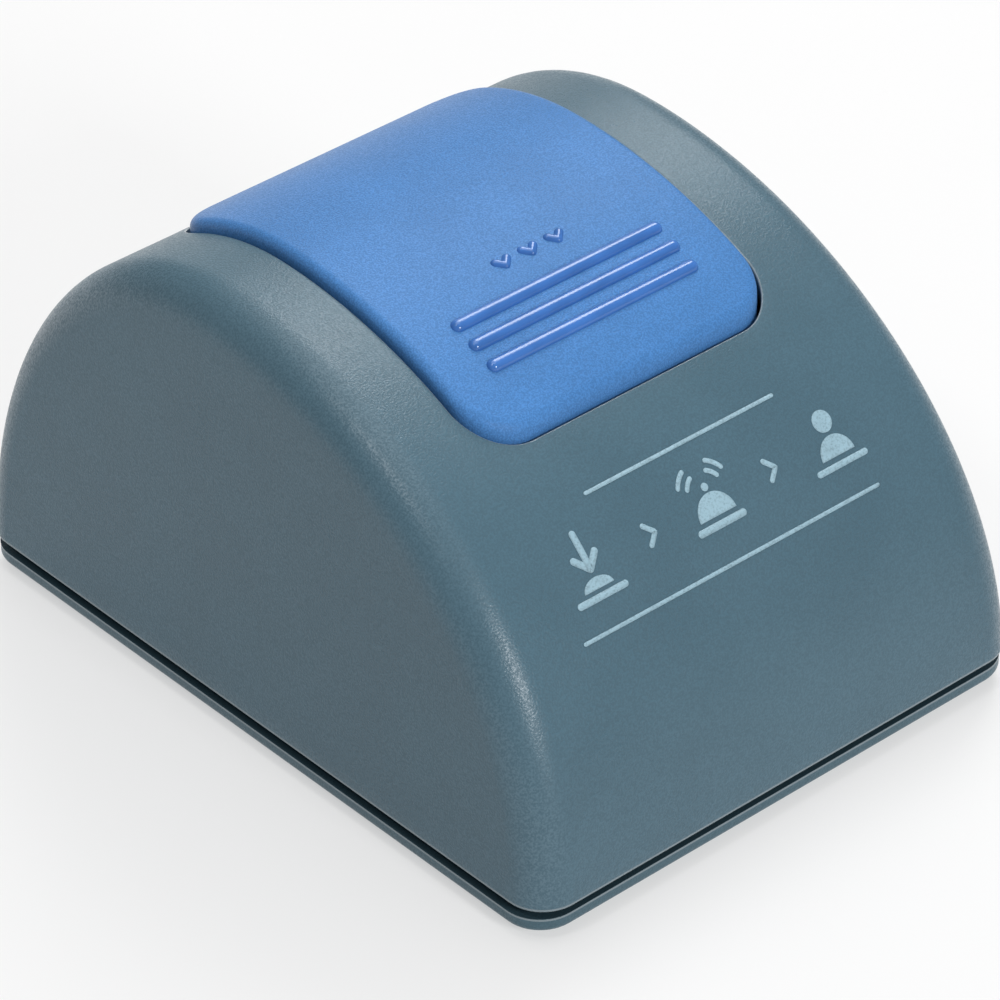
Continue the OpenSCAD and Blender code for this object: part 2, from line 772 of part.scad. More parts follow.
module push_button() {
  color("steelblue") difference() {
    union() {
      difference() {
        plate_form();
        plate_hollow();
      }
      intersection() {
        plate_works();
        plate_core();
      }
      for (x = [-1, 1]) translate([x * spring_x, spring_y, bridge_top_z + spring_h - pilot_h])
        cylinder(r = pilot_r, h = pilot_h + join);
      for (side = [-1, 1]) translate([side * (knuckle_out - knuckle_w / 2), hinge_y, hinge_z])
        rotate([0, 90, 0]) cylinder(r = knuckle_r, h = knuckle_w, center = true);
      for (k = [0 : rib_n - 1]) finger_rib(rib_mid_y + (k - (rib_n - 1) / 2) * rib_pitch);
      for (k = [0 : mark_n - 1]) raised_mark((k - (mark_n - 1) / 2) * mark_pitch);
      for (x = [-1, 1]) translate([x * hook_x - hook_w / 2, opening_front_y - hook_out, hook_z]) {
        cube([hook_w, hook_out + plate_gap + plate_wall, hook_t]);
        translate([0, hook_out + plate_gap, 0]) cube([hook_w, plate_wall, hook_t + plate_depth / 2]);
      }
    }
    for (side = [-1, 1]) translate([side * (knuckle_out - knuckle_w / 2), hinge_y, hinge_z])
      rotate([0, 90, 0]) cylinder(r = pin_r + pin_gap, h = knuckle_w + 2 * join, center = true);
  }
}

module hinge_pin() {
  color("silver") translate([0, hinge_y, hinge_z])
    rotate([0, 90, 0]) cylinder(r = pin_r, h = 2 * saddle_out, center = true);
}

module return_springs() {
  room = spring_h - 2 * (spring_wire_r + spring_seat_clear);
  path = coil_path(spring_r, spring_r, room, spring_turns);
  echo(return_spring_least_gap = least_gap(path, spring_wire_r));
  color("silver") for (x = [-1, 1])
    translate([x * spring_x, spring_y, bridge_top_z + spring_wire_r + spring_seat_clear])
      tube(path, spring_wire_r, wire_sides, [0, 0, 1]);
}

module inner_bridge() {
  mid_y = (bridge_front_y + bridge_back_y) / 2;
  color("darkslategray") difference() {
    union() {
      translate([0, mid_y, bridge_z])
        linear_extrude(bridge_t) round_rect(2 * bridge_half, bridge_back_y - bridge_front_y, bridge_corner);
      for (x = [-1, 1]) translate([x * spring_x, spring_y, bridge_z]) difference() {
        cylinder(r = cup_r, h = bridge_t + cup_h);
        translate([0, 0, bridge_t]) cylinder(r = spring_r + spring_wire_r + cup_gap, h = cup_h + past);
      }
      for (x = [-1, 1], y = [-1, 1]) translate([x * spacer_x, board_y + y * spacer_y, board_top_z])
        cylinder(r = spacer_r, h = board_drop + join);
    }
    for (x = [-1, 1], y = [-1, 1]) translate([x * spacer_x, board_y + y * spacer_y, board_top_z - past])
      cylinder(r = board_screw_r + screw_fit, h = board_screw_len + screw_end - board_t + past);
    for (x = [-1, 1], y = [bridge_boss_front_y, bridge_boss_back_y])
      translate([x * bridge_boss_x, y, bridge_z - past])
        cylinder(r = bridge_screw_r + hole_fit, h = bridge_t + 2 * past);
    translate([0, switch_y, bridge_z - past]) cylinder(r = plunger_hole_r, h = bridge_t + 2 * past);
  }
}

module bridge_screws() {
  color("silver") for (x = [-1, 1], y = [bridge_boss_front_y, bridge_boss_back_y])
    translate([x * bridge_boss_x, y, bridge_z])
      small_screw(bridge_screw_r, bridge_screw_len);
}

module circuit_board() {
  color("seagreen") difference() {
    translate([0, board_y, board_z + board_t / 2]) cube([board_w, board_d, board_t], center = true);
    for (x = [-1, 1], y = [-1, 1]) translate([x * spacer_x, board_y + y * spacer_y, board_z - past])
      cylinder(r = board_screw_r + hole_fit, h = board_t + 2 * past);
  }
}

module board_screws() {
  color("silver") for (x = [-1, 1], y = [-1, 1])
    translate([x * spacer_x, board_y + y * spacer_y, board_z])
      small_screw(board_screw_r, board_screw_len);
}

module switch_body() {
  well_z = switch_top_z - plunger_tail - plunger_travel - plunger_well;
  color("dimgray") difference() {
    translate([0, switch_y, board_top_z + switch_h / 2])
      cube([switch_w, switch_w, switch_h], center = true);
    translate([0, switch_y, well_z]) cylinder(r = plunger_r + plunger_fit, h = switch_h);
  }
}

module switch_plunger() {
  low_z = switch_top_z - plunger_tail;
  color("ivory") translate([0, switch_y, low_z]) cylinder(r = plunger_r, h = plunger_top_z - low_z);
}

module sound_chip() {
  color("black") translate([chip_x, chip_y, board_top_z]) {
    translate([-chip_size.x / 2, -chip_size.y / 2, chip_leg]) cube(chip_size);
    for (k = [0 : 3], side = [-1, 1])
      translate([(k - 1.5) * pin_pitch, side * (chip_size.y / 2 - chip_leg), chip_leg])
        cube([chip_leg, chip_leg, 2 * chip_leg], center = true);
  }
}

module capacitors() {
  color("midnightblue") for (k = [0, 1]) translate([can_x, chip_y - k * can_pitch, board_top_z])
    cylinder(r = can_r, h = can_h);
}

// Two-pin socket that hangs under the board
module socket(x, y) {
  inner = [socket_size.x - 2 * socket_mouth, socket_size.y - 2 * socket_mouth, 4 * socket_mouth];
  translate([x, y, board_z - socket_size.z]) difference() {
    translate([0, 0, socket_size.z / 2]) cube(socket_size, center = true);
    cube(inner, center = true);
  }
}

module battery_socket() {
  color("ivory") socket(socket_x, battery_socket_y);
}

module speaker_socket() {
  color("ivory") socket(-socket_x, speaker_socket_y);
}

module speaker_frame() {
  top = basket_h - basket_t;
  color("gray") translate([0, speaker_y, rim_z]) {
    rotate_extrude() polygon([
      [speaker_r - rim_w, 0], [speaker_r, 0], [speaker_r, rim_h], [speaker_r - rim_w + basket_t, rim_h],
      [neck_r, top], [neck_r, basket_h], [coil_hole_r, basket_h], [coil_hole_r, top],
      [neck_r - basket_t, top]
    ]);
    translate([-tag_r - tag_size.x + join, -tag_size.y / 2, basket_h - tag_size.z - basket_t])
      cube(tag_size);
  }
}

module speaker_cone() {
  outer = speaker_r - rim_w - cone_room;
  apex = basket_h - basket_t - cone_drop;
  color("black") translate([0, speaker_y, rim_z + cone_clear]) rotate_extrude() polygon([
    [outer - cone_t, 0], [outer, 0], [outer, cone_t], [outer - cone_t, cone_t],
    [coil_hole_r, apex + cone_t], [0, apex + cone_t], [0, apex], [coil_hole_r, apex]
  ]);
}

module speaker_magnet() {
  color("darkgray") translate([0, speaker_y, rim_z + basket_h]) {
    cylinder(r = magnet_r, h = magnet_h);
    translate([0, 0, -pole_drop]) cylinder(r = pole_r, h = pole_drop + join);
  }
}

module dust_screen() {
  color("black") translate([0, speaker_y, floor_z]) cylinder(r = speaker_r, h = screen_t);
}

module speaker_ring() {
  color("dimgray") translate([0, speaker_y, rim_z + rim_h]) difference() {
    union() {
      cylinder(r = ring_r, h = ring_t);
      for (a = ear_angles) rotate(a) {
        translate([ear_at, 0, 0]) cylinder(r = ear_r, h = ring_t);
        translate([0, -ear_r, 0]) cube([ear_at, 2 * ear_r, ring_t]);
      }
    }
    translate([0, 0, -past]) cylinder(r = speaker_r - rim_w + basket_t + ring_gap, h = ring_t + 2 * past);
    for (a = ear_angles) rotate(a) translate([ear_at, 0, -past])
      cylinder(r = speaker_screw_r + hole_fit, h = ring_t + 2 * past);
  }
}

module speaker_screws() {
  color("silver") for (a = ear_angles)
    translate([ear_at * cos(a), speaker_y + ear_at * sin(a), rim_z + rim_h + ring_t])
      mirror([0, 0, 1]) small_screw(speaker_screw_r, speaker_screw_len);
}

module battery_holder() {
  out_x = bay_x + 2 * holder_t;
  out_y = bay_d + 2 * holder_t;
  notch_w = hook_tab_w + 2 * tab_notch_gap;
  ear_z = floor_z + holder_boss_h;
  color("darkslategray") translate([0, bay_y, 0]) difference() {
    union() {
      difference() {
        translate([-out_x / 2, -out_y / 2, floor_z]) cube([out_x, out_y, holder_top_z - floor_z]);
        translate([-bay_x / 2, -bay_d / 2, floor_z - past]) cube([bay_x, bay_d, roof_z - floor_z + past]);
      }
      translate([-bay_x / 2, -divider_t / 2, roof_z - divider_h])
        cube([bay_x, divider_t, divider_h + join]);
      for (p = holder_ear_places) translate([p.x, p.y, ear_z]) {
        cylinder(r = holder_ear_r, h = holder_ear_t);
        translate([-holder_ear_r, p.y > 0 ? -holder_ear_out : 0, 0])
          cube([2 * holder_ear_r, holder_ear_out, holder_ear_t]);
      }
    }
    for (p = holder_ear_places) translate([p.x, p.y, ear_z - past])
      cylinder(r = holder_screw_r + hole_fit, h = holder_ear_t + 2 * past);
    for (x = [-1, 1]) translate([x * hook_tab_x - notch_w / 2, -out_y / 2 - past, floor_z - past])
      cube([notch_w, holder_t + 2 * past, tab_notch_h + past]);
    for (y = [-1, 1])
      translate([bay_x / 2 - contact_t - tab_slot, y * cell_y - tab_w / 2 - tab_slot, roof_z - past])
        cube([contact_t + tab_slot + join, tab_w + 2 * tab_slot, holder_t + 2 * past]);
  }
}

// One cell along +X from its flat end, with its nub at the far end
module cell() {
  rotate([0, 90, 0]) {
    cylinder(d = cell_d, h = cell_len - nub_len);
    cylinder(r = nub_r, h = cell_len);
  }
}

module battery_cells() {
  color("goldenrod") for (side = [-1, 1]) translate([0, bay_y + side * cell_y, cell_z])
    mirror([side < 0 ? 1 : 0, 0, 0]) translate([cell_from_contact - cell_len, 0, 0]) cell();
}

module link_contact() {
  low = floor_z + contact_low;
  color("silver") translate([-bay_x / 2, bay_y - cell_y - contact_w / 2, low])
    cube([contact_t, 2 * cell_y + contact_w, roof_z - contact_high - low - divider_h]);
}

module end_contacts() {
  low = floor_z + contact_low;
  color("silver") for (y = [-1, 1]) translate([bay_x / 2 - contact_t, bay_y + y * cell_y, low]) {
    translate([0, -contact_w / 2, 0]) cube([contact_t, contact_w, roof_z - contact_high - low]);
    translate([0, -tab_w / 2, 0]) cube([contact_t, tab_w, holder_top_z + tab_up - low]);
  }
}

module contact_springs() {
  room = coil_len - 2 * coil_wire_r - contact_touch;
  path = coil_path(coil_r_wide, coil_r_narrow, room, coil_turns);
  start = bay_x / 2 - contact_t - contact_touch / 2 - coil_wire_r;
  echo(contact_spring_least_gap = least_gap(path, coil_wire_r));
  color("silver") for (side = [-1, 1]) translate([0, bay_y - side * cell_y, cell_z])
    mirror([side < 0 ? 1 : 0, 0, 0]) translate([start, 0, 0]) rotate([0, -90, 0])
      tube(path, coil_wire_r, wire_sides, [0, 0, 1]);
}

module holder_screws() {
  color("silver") for (p = holder_ear_places)
    translate([p.x, bay_y + p.y, floor_z + holder_boss_h + holder_ear_t])
      mirror([0, 0, 1]) small_screw(holder_screw_r, holder_screw_len);
}

module battery_cover() {
  w = bay_x - 2 * cover_gap;
  d = bay_d - 2 * cover_gap;
  color("dimgray") translate([0, bay_y, 0]) difference() {
    union() {
      translate([0, 0, foot_out]) linear_extrude(base_t) round_rect(w, d, cover_corner);
      for (x = [-1, 1]) translate([x * hook_tab_x - hook_tab_w / 2, 0, 0]) {
        translate([0, -bay_d / 2 - hook_tab_out, floor_z + hook_tab_lift])
          cube([hook_tab_w, hook_tab_out + cover_gap + latch_t, hook_tab_t]);
        translate([0, -d / 2, floor_z - join])
          cube([hook_tab_w, latch_t, join + hook_tab_lift + hook_tab_t]);
      }
      translate([-latch_w / 2, d / 2 - latch_in - latch_t, floor_z - join])
        cube([latch_w, latch_t, latch_h + join]);
    }
    translate([0, d / 2 - scoop_in, foot_out + scoop_depth - scoop_r])
      rotate([0, 90, 0]) cylinder(r = scoop_r, h = scoop_w, center = true);
  }
}

// Point that lies a share of the way from a to b, moved by lift
function between(a, b, share, lift) = a + (b - a) * share + [0, 0, lift];
// The same point, kept clear of the top of the battery holder
function over_holder(p) = [p.x, p.y, max(p.z, holder_top_z + lead_r + lead_clear)];

// Route of a battery lead: up from a terminal tab, over the holder, up into the socket
function battery_route(side) =
  let (tab = [bay_x / 2 - contact_t / 2, bay_y + side * cell_y, holder_top_z + tab_up + lead_touch])
  let (pin = battery_socket_y + side * pin_pitch / 2)
  let (plug = [socket_x, pin, board_z - socket_size.z - lead_touch])
  [
    tab, tab + [0, 0, lead_rise], over_holder(between(tab, plug, 0.35, lead_rise / 4)),
    over_holder(between(tab, plug, 0.7, -lead_rise)), over_holder(plug - [0, 0, lead_rise]), plug
  ];

module positive_lead() {
  color("red") tube(smooth(battery_route(1)), lead_r, lead_sides, lead_ref);
}

module negative_lead() {
  color("black") tube(smooth(battery_route(-1)), lead_r, lead_sides, lead_ref);
}

// Route of a speaker lead: up from the speaker's tag to its socket
function speaker_route(side) =
  let (tag_top = rim_z + basket_h - basket_t)
  let (tag = [-tag_r - tag_size.x / 2 + join, speaker_y + side * pin_pitch, tag_top + lead_touch])
  let (pin = speaker_socket_y + side * pin_pitch / 2)
  let (plug = [-socket_x, pin, board_z - socket_size.z - lead_touch])
  [
    tag, tag + [0, 0, 2 * lead_rise], between(tag, plug, 0.4, 0), between(tag, plug, 0.75, -lead_rise),
    plug - [0, 0, 1.5 * lead_rise], plug
  ];

module speaker_leads() {
  color("white") for (side = [-1, 1]) tube(smooth(speaker_route(side)), lead_r, lead_sides, lead_ref);
}

top_shell();
base_plate();
rubber_feet();
base_screws();
push_button();
hinge_pin();
return_springs();
inner_bridge();
bridge_screws();
circuit_board();
board_screws();
switch_body();
switch_plunger();
sound_chip();
capacitors();
battery_socket();
speaker_socket();
speaker_frame();
speaker_cone();
speaker_magnet();
dust_screen();
speaker_ring();
speaker_screws();
battery_holder();
battery_cells();
link_contact();
end_contacts();
contact_springs();
holder_screws();
battery_cover();
positive_lead();
negative_lead();
speaker_leads();
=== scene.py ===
"""Looks of the counter chime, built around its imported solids.

The case, push plate, ribs, marks, springs, feet, cells, cloth and print are surfaces worked out with numpy.
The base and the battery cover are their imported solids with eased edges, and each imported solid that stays
gets its own finish. Sizes in the classes are millimetres and degrees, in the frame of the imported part: +Z
up, -Y towards the customer. Meshes are in metres.
"""

import logging
import math
from collections.abc import Callable
from dataclasses import dataclass, field
from enum import Enum
from typing import Union

import bmesh
import bpy
import numpy as np
from mathutils import Matrix, Vector


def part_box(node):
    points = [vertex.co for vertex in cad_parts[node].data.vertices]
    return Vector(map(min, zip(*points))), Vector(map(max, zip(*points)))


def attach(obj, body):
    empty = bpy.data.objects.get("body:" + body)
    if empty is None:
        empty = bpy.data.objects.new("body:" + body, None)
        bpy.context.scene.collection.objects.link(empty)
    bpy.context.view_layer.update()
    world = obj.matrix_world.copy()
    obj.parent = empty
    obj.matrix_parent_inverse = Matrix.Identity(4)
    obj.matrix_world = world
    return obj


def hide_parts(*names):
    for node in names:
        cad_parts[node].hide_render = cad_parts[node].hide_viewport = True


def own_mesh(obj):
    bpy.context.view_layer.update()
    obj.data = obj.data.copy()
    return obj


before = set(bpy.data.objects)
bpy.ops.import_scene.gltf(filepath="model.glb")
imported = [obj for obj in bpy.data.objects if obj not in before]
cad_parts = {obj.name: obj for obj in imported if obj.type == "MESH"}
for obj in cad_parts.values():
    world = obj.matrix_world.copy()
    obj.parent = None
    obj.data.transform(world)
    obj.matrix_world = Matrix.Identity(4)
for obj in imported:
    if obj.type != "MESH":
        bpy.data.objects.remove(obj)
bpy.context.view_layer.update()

LOG = logging.getLogger("counter_chime")
MM = 0.001
WELD = 2e-7
SMOOTH_DEG = 38.0
SIDES = (-1, 1)
BAND_POINTS = 64
STUD_SIDES = 32
HINGE_PIN = (28.0, 46.2981)

Points = np.ndarray
Pair = tuple[float, float]
Place = tuple[float, float, float]
Colour = tuple[int, int, int]
Rgba = tuple[float, float, float, float]


# Meshes


class Wrap(Enum):
    """How the columns of a grid end."""

    OPEN = 0
    ROUND = 1


class Body(Enum):
    """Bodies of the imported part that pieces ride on."""

    CASE = "case"
    PLATE = "press_plate"
    COVER = "battery_lid"


def grid_quads(rows: int, columns: int, wrap: Wrap) -> np.ndarray:
    """Quads of a grid: each point with its neighbours along the row and in the next row.

    Args:
        rows: Number of rows.
        columns: Number of points in a row.
        wrap: Whether the last column joins the first.

    Returns:
        Array of point numbers, four for each quad.
    """
    steps = columns if wrap is Wrap.ROUND else columns - 1
    row, column = np.meshgrid(np.arange(rows - 1), np.arange(steps), indexing="ij")
    here, following = row * columns + column, row * columns + (column + 1) % columns
    return np.stack([here, following, following + columns, here + columns], axis=-1).reshape(-1, 4)


def new_object(name: str, data: bpy.types.ID) -> bpy.types.Object:
    """Puts a mesh, a light or a camera into the scene as an object at the origin.

    Args:
        name: Name of the object.
        data: What it shows.

    Returns:
        The new object.
    """
    made = bpy.data.objects.new(name, data)
    bpy.context.scene.collection.objects.link(made)
    return made


def smooth_object(name: str, mesh: bpy.types.Mesh) -> bpy.types.Object:
    """Puts a mesh into the scene, smooth apart from its sharp edges.

    Args:
        name: Name of the piece.
        mesh: Its mesh, in metres.

    Returns:
        The new object.
    """
    mesh.shade_smooth()
    mesh.set_sharp_from_angle(angle=math.radians(SMOOTH_DEG))
    return new_object(name, mesh)


@dataclass
class Skin:
    """Grid patches of one piece, which become one mesh."""

    name: str
    points: list[Points] = field(default_factory=list)
    quads: list[np.ndarray] = field(default_factory=list)
    edges: list[np.ndarray] = field(default_factory=list)
    count: int = 0

    def add(self, patch: Points, wrap: Wrap = Wrap.ROUND, edge: Union[float, np.ndarray] = 0.0) -> None:
        """Adds a grid of points.

        Args:
            patch: Points by row, column and axis, in millimetres.
            wrap: Whether the last column joins the first.
            edge: How far each point belongs to an edge smoothed by handling, from 0 to 1. Near 1 the edge is
                painted paler as a highlight.
        """
        rows, columns = patch.shape[:2]
        self.quads.append(grid_quads(rows, columns, wrap) + self.count)
        self.points.append(patch.reshape(-1, 3))
        self.edges.append(np.broadcast_to(edge, (rows, columns)).ravel())
        self.count += rows * columns

    def build(self) -> bpy.types.Object:
        """Welds the patches into one mesh, drops flat faces and turns all faces outward.

        Returns:
            The piece's object.
        """
        mesh = bpy.data.meshes.new(self.name)
        points, quads = np.concatenate(self.points) * MM, np.concatenate(self.quads)
        mesh.from_pydata(points.tolist(), [], quads.tolist())
        # Share of a handled edge at each point, which near 1 is also painted paler as a highlight.
        wear_and_painted_highlight = mesh.attributes.new("edge", "FLOAT", "POINT")
        wear_and_painted_highlight.data.foreach_set("value", np.concatenate(self.edges).astype(np.float32))
        work = bmesh.new()
        work.from_mesh(mesh)
        bmesh.ops.remove_doubles(work, verts=list(work.verts), dist=WELD)
        bmesh.ops.dissolve_degenerate(work, edges=list(work.edges), dist=WELD)
        bmesh.ops.recalc_face_normals(work, faces=list(work.faces))
        work.to_mesh(mesh)
        work.free()
        return smooth_object(self.name, mesh)


def lengths(path: Points) -> np.ndarray:
    """Length along a line of points up to each of them: the running sum of its steps."""
    return np.concatenate([[0.0], np.cumsum(np.linalg.norm(np.diff(path, axis=0), axis=1))])


def picked(wanted: np.ndarray, along: np.ndarray, path: Points) -> Points:
    """Points of a line at the wanted lengths along it, linear between the points that it has."""
    return np.stack([np.interp(wanted, along, part) for part in path.T], axis=1)


def resample(path: Points, count: int) -> Points:
    """That many points spread evenly along a line of points, with both its ends."""
    along = lengths(path)
    return picked(np.linspace(0.0, along[-1], count), along, path)


def unit(ways: Points) -> Points:
    """Directions, each at unit length."""
    return ways / np.linalg.norm(ways, axis=1, keepdims=True)


def turned(points: Points, angle: float, axis: str) -> Points:
    """Points turned about an axis of the frame by an angle in radians."""
    return points @ np.array(Matrix.Rotation(angle, 3, axis)).T


def quarter(steps: int) -> np.ndarray:
    """Angles of a quarter turn in even steps, from nought to a right angle."""
    return np.linspace(0.0, math.pi / 2, steps + 1)


def arc(radius: float, start: float, end: float, steps: int) -> Points:
    """Points of a circle about the origin, evenly from one angle in degrees to another."""
    angle = np.radians(np.linspace(start, end, steps + 1))
    return radius * np.stack([np.cos(angle), np.sin(angle)], axis=1)


def revolved(profile: Points, sides: int, centre: Place = (0.0, 0.0, 0.0)) -> Points:
    """Surface of revolution about an upright axis: each radius turned around it at its height.

    Args:
        profile: Pairs of radius and height.
        sides: Number of points around.
        centre: Point that the heights are measured from.

    Returns:
        Round grid of points, one row for each pair.
    """
    turn = np.linspace(0.0, 2 * math.pi, sides, endpoint=False)
    radius, height = profile[:, 0, None], profile[:, 1, None]
    ring = np.stack([radius * np.cos(turn), radius * np.sin(turn), height + 0.0 * turn], axis=-1)
    return ring + np.array(centre)


def capsule(length: float, radius: float, sides: int = 24, steps: int = 8) -> Points:
    """Bar along X with round ends: a half circle, a straight line and a half circle turned about X.

    Args:
        length: Length over the ends.
        radius: Radius of the bar.
        sides: Points around.
        steps: Steps along each round end.

    Returns:
        Round grid of points about the origin.
    """
    middle = [length / 2 - radius, 0]
    profile = np.concatenate([arc(radius, 180, 90, steps) - middle, arc(radius, 90, 0, steps) + middle])
    return revolved(profile[:, ::-1], sides)[..., [2, 0, 1]]


def block(low: Place, high: Place) -> Points:
    """Upright box: the middle of its floor, its lower corners, its upper corners, the middle of its roof.

    Args:
        low: Lowest corner.
        high: Highest corner.

    Returns:
        Round grid of points, four in each row.
    """
    corners = np.array([[low[0], low[1]], [high[0], low[1]], [high[0], high[1]], [low[0], high[1]]])
    middle = np.broadcast_to(corners.mean(axis=0), corners.shape)
    rows = ((middle, low[2]), (corners, low[2]), (corners, high[2]), (middle, high[2]))
    return np.stack([np.column_stack([plan, np.full(4, level)]) for plan, level in rows])


def bored(outer: Points, bore: Points, near: float, far: float) -> Points:
    """Block with a bore for the hinge pin: a band over one face, through the bore and back on the outside.

    Args:
        outer: Outer line in y and z about the pin.
        bore: Line of the bore in the same way.
        near: Where the block starts in x.
        far: Where it ends.

    Returns:
        Grid of points, with the same number spread along each line.
    """
    lines = [resample(line, BAND_POINTS) + np.array(HINGE_PIN) for line in (outer, bore)]
    order = ((near, 0), (near, 1), (far, 1), (far, 0), (near, 0))
    return np.stack([np.column_stack([np.full(BAND_POINTS, x), lines[which]]) for x, which in order])


@dataclass(frozen=True)
class Winding:
    """Wire wound about +Z, whose radius goes evenly from low to high as it rises."""

    low: float
    high: float
    rise: float
    turns: int
    wire: float
    steps: int = 36
    sides: int = 10

    def grid(self) -> Points:
        """Circle carried along the helix and square to it, with both ends closed to a point.

        Returns:
            Round grid of points that starts at z = 0.
        """
        share = np.linspace(0.0, 1.0, self.steps * self.turns + 1)
        angle = 2 * math.pi * self.turns * share
        radius = self.low + (self.high - self.low) * share
        outward = np.stack([np.cos(angle), np.sin(angle), 0.0 * angle], axis=1)
        path = outward * radius[:, None] + np.outer(self.rise * share, [0, 0, 1])
        tangent = unit(np.gradient(path, axis=0))
        outward = unit(outward - tangent * np.sum(outward * tangent, axis=1, keepdims=True))
        upward = np.cross(tangent, outward)
        around = np.linspace(0.0, 2 * math.pi, self.sides, endpoint=False)[None, :, None]
        circle = np.cos(around) * outward[:, None] + np.sin(around) * upward[:, None]
        first, last = (np.broadcast_to(path[end], (1, self.sides, 3)) for end in (0, -1))
        return np.concatenate([first, path[:, None] + self.wire * circle, last])


@dataclass(frozen=True)
class Arch:
    """Form of the case: two quarter ellipses that meet at a crest, leaning ends and a round edge between."""

    width: float = 80.0
    depth: float = 108.5
    height: float = 55.2
    crest: float = 9.0
    lean: float = 3.5
    edge: float = 5.3
    foot: float = 4.6
    slope_step: float = 0.05
    length_steps: int = 4000

    def reach(self, front: np.ndarray) -> np.ndarray:
        """Distance from the crest to the front or the back of the case, where front says which."""
        return np.where(front, self.depth / 2 + self.crest, self.depth / 2 - self.crest)

    def level(self, y: np.ndarray, out: float = 0.0) -> np.ndarray:
        """Height of the arch at y, moved outward by out: its ellipse solved for z."""
        share = (y - self.crest) / (self.reach(y < self.crest) + out)
        return self.foot + (self.height + out) * np.sqrt(np.clip(1 - share**2, 0, 1))

    def turn(self, y: np.ndarray, out: float = 0.0) -> np.ndarray:
        """Angle along the arch at y, from 0 at the front to pi at the back: the arc cosine of y's share."""
        return np.arccos(np.clip((self.crest - y) / (self.reach(y < self.crest) + out), -1, 1))

    def slope(self, y: float, out: float) -> float:
        """Angle in radians by which the arch rises towards the back at y, from a small step of y."""
        low, high = self.level(np.array([y - self.slope_step, y + self.slope_step]), out)
        return math.atan2(high - low, 2 * self.slope_step)

    def point(
        self, share: np.ndarray, turn: np.ndarray, edge: Union[float, np.ndarray] = 0.0, out: float = 0.0
    ) -> Points:
        """Point of the case's surface.

        The ellipse at the angle turn is drawn in by the rounded edge, as far as the angle edge has gone
        round it, and x is a share of the half width there, which shrinks with height as the ends lean.

        Args:
            share: Share of the half width, from -1 to 1.
            turn: Angle along the arch, from 0 at the front to pi at the back.
            edge: Angle around the rounded edge, from 0 on the arch to a right angle on the end.
            out: How far the whole form is moved outward.

        Returns:
            Points in the shape that the arguments have together.
        """
        radius = self.edge + out
        inset = radius * (1 - np.cos(edge))
        rise = (self.height + out - inset) * np.sin(turn)
        half = self.end_x(rise, out) - radius * (1 - np.sin(edge))
        y = self.crest - (self.reach(turn < math.pi / 2) + out - inset) * np.cos(turn)
        return np.stack(np.broadcast_arrays(share * half, y, self.foot + rise), axis=-1)

    def end_x(self, rise: np.ndarray, out: float) -> np.ndarray:
        """Half width of the end faces at a height above the lower edge."""
        lean = math.radians(self.lean)
        return self.width / 2 + out / math.cos(lean) - rise * math.tan(lean)

    def wrapped(self, flat: Points, out: float) -> Points:
        """Lays a flat drawing on the front of the arch.

        The second value of each pair is the length along the arch from the crest towards the front, which
        a table of the ellipse's length turns into an angle.

        Args:
            flat: Pairs of x and length along the arch, in any shape.
            out: Height above the surface.

        Returns:
            Points in the same shape.
        """
        turn = np.linspace(math.pi / 2, 0.0, self.length_steps)
        along = lengths(self.point(np.zeros_like(turn), turn)[:, 1:])
        angle = np.interp(flat[..., 1], along, turn)
        spot = self.point(np.zeros_like(angle), angle, 0.0, out)
        spot[..., 0] = flat[..., 0]
        return spot


# Finishes


def operation(name: str, reflected: bool = False) -> Callable[["Value", "Operand"], "Value"]:
    """Operator of Value that adds a Math node.

    Args:
        name: Name of the sum.
        reflected: Whether the other value comes first.

    Returns:
        The method.
    """
    def result(value: "Value", other: "Operand") -> "Value":
        """Result of the sum."""
        return value.math(name, other, value) if reflected else value.math(name, value, other)

    return result


@dataclass(frozen=True)
class Value:
    """Socket of a shader node that takes part in sums and products."""

    graph: "Graph"
    socket: bpy.types.NodeSocket

    __add__ = operation("ADD")
    __radd__ = operation("ADD", reflected=True)
    __sub__ = operation("SUBTRACT")
    __rsub__ = operation("SUBTRACT", reflected=True)
    __mul__ = operation("MULTIPLY")
    __rmul__ = operation("MULTIPLY", reflected=True)
    __gt__ = operation("GREATER_THAN")

    def math(self, name: str, left: "Operand", right: "Operand") -> "Value":
        """Result of a Math node: the named sum of two values."""
        return self.graph.add("ShaderNodeMath", {"Value": left, "Value_001": right}, operation=name)

    def within(self, low: float, high: float) -> "Value":
        """Smooth step of this value: nought below low, one above high."""
        inputs = {"Value": self, "From Min": low, "From Max": high}
        return self.graph.add("ShaderNodeMapRange", inputs, interpolation_type="SMOOTHSTEP")

    def above(self, level: float, blur: float) -> "Value":
        """Smooth step at a level, which begins and ends a blur away from it."""
        return self.within(level - blur, level + blur)

    def spots(self) -> "Value":
        """Noise drawn apart, so that its spots go from nought to one."""
        return self.within(0.3, 0.7)

    def swing(self, amount: float) -> "Value":
        """This value about its middle at a half, times an amount."""
        return (self - 0.5) * amount


Operand = Union[float, Value]
Input = Union[float, Rgba, Place, Value]


def linear(colour: Colour, gain: float = 1.0) -> Rgba:
    """Colour of the screen, from 0 to 255, as light: the standard screen curve turned round.

    Args:
        colour: Red, green and blue.
        gain: Factor on the light.

    Returns:
        Red, green and blue light with full cover.
    """
    screen = np.array(colour) / 255.0
    light = np.where(screen <= 0.04045, screen / 12.92, ((screen + 0.055) / 1.055) ** 2.4)
    red, green, blue = (float(part) for part in np.clip(light * gain, 0, 1))
    return red, green, blue, 1.0


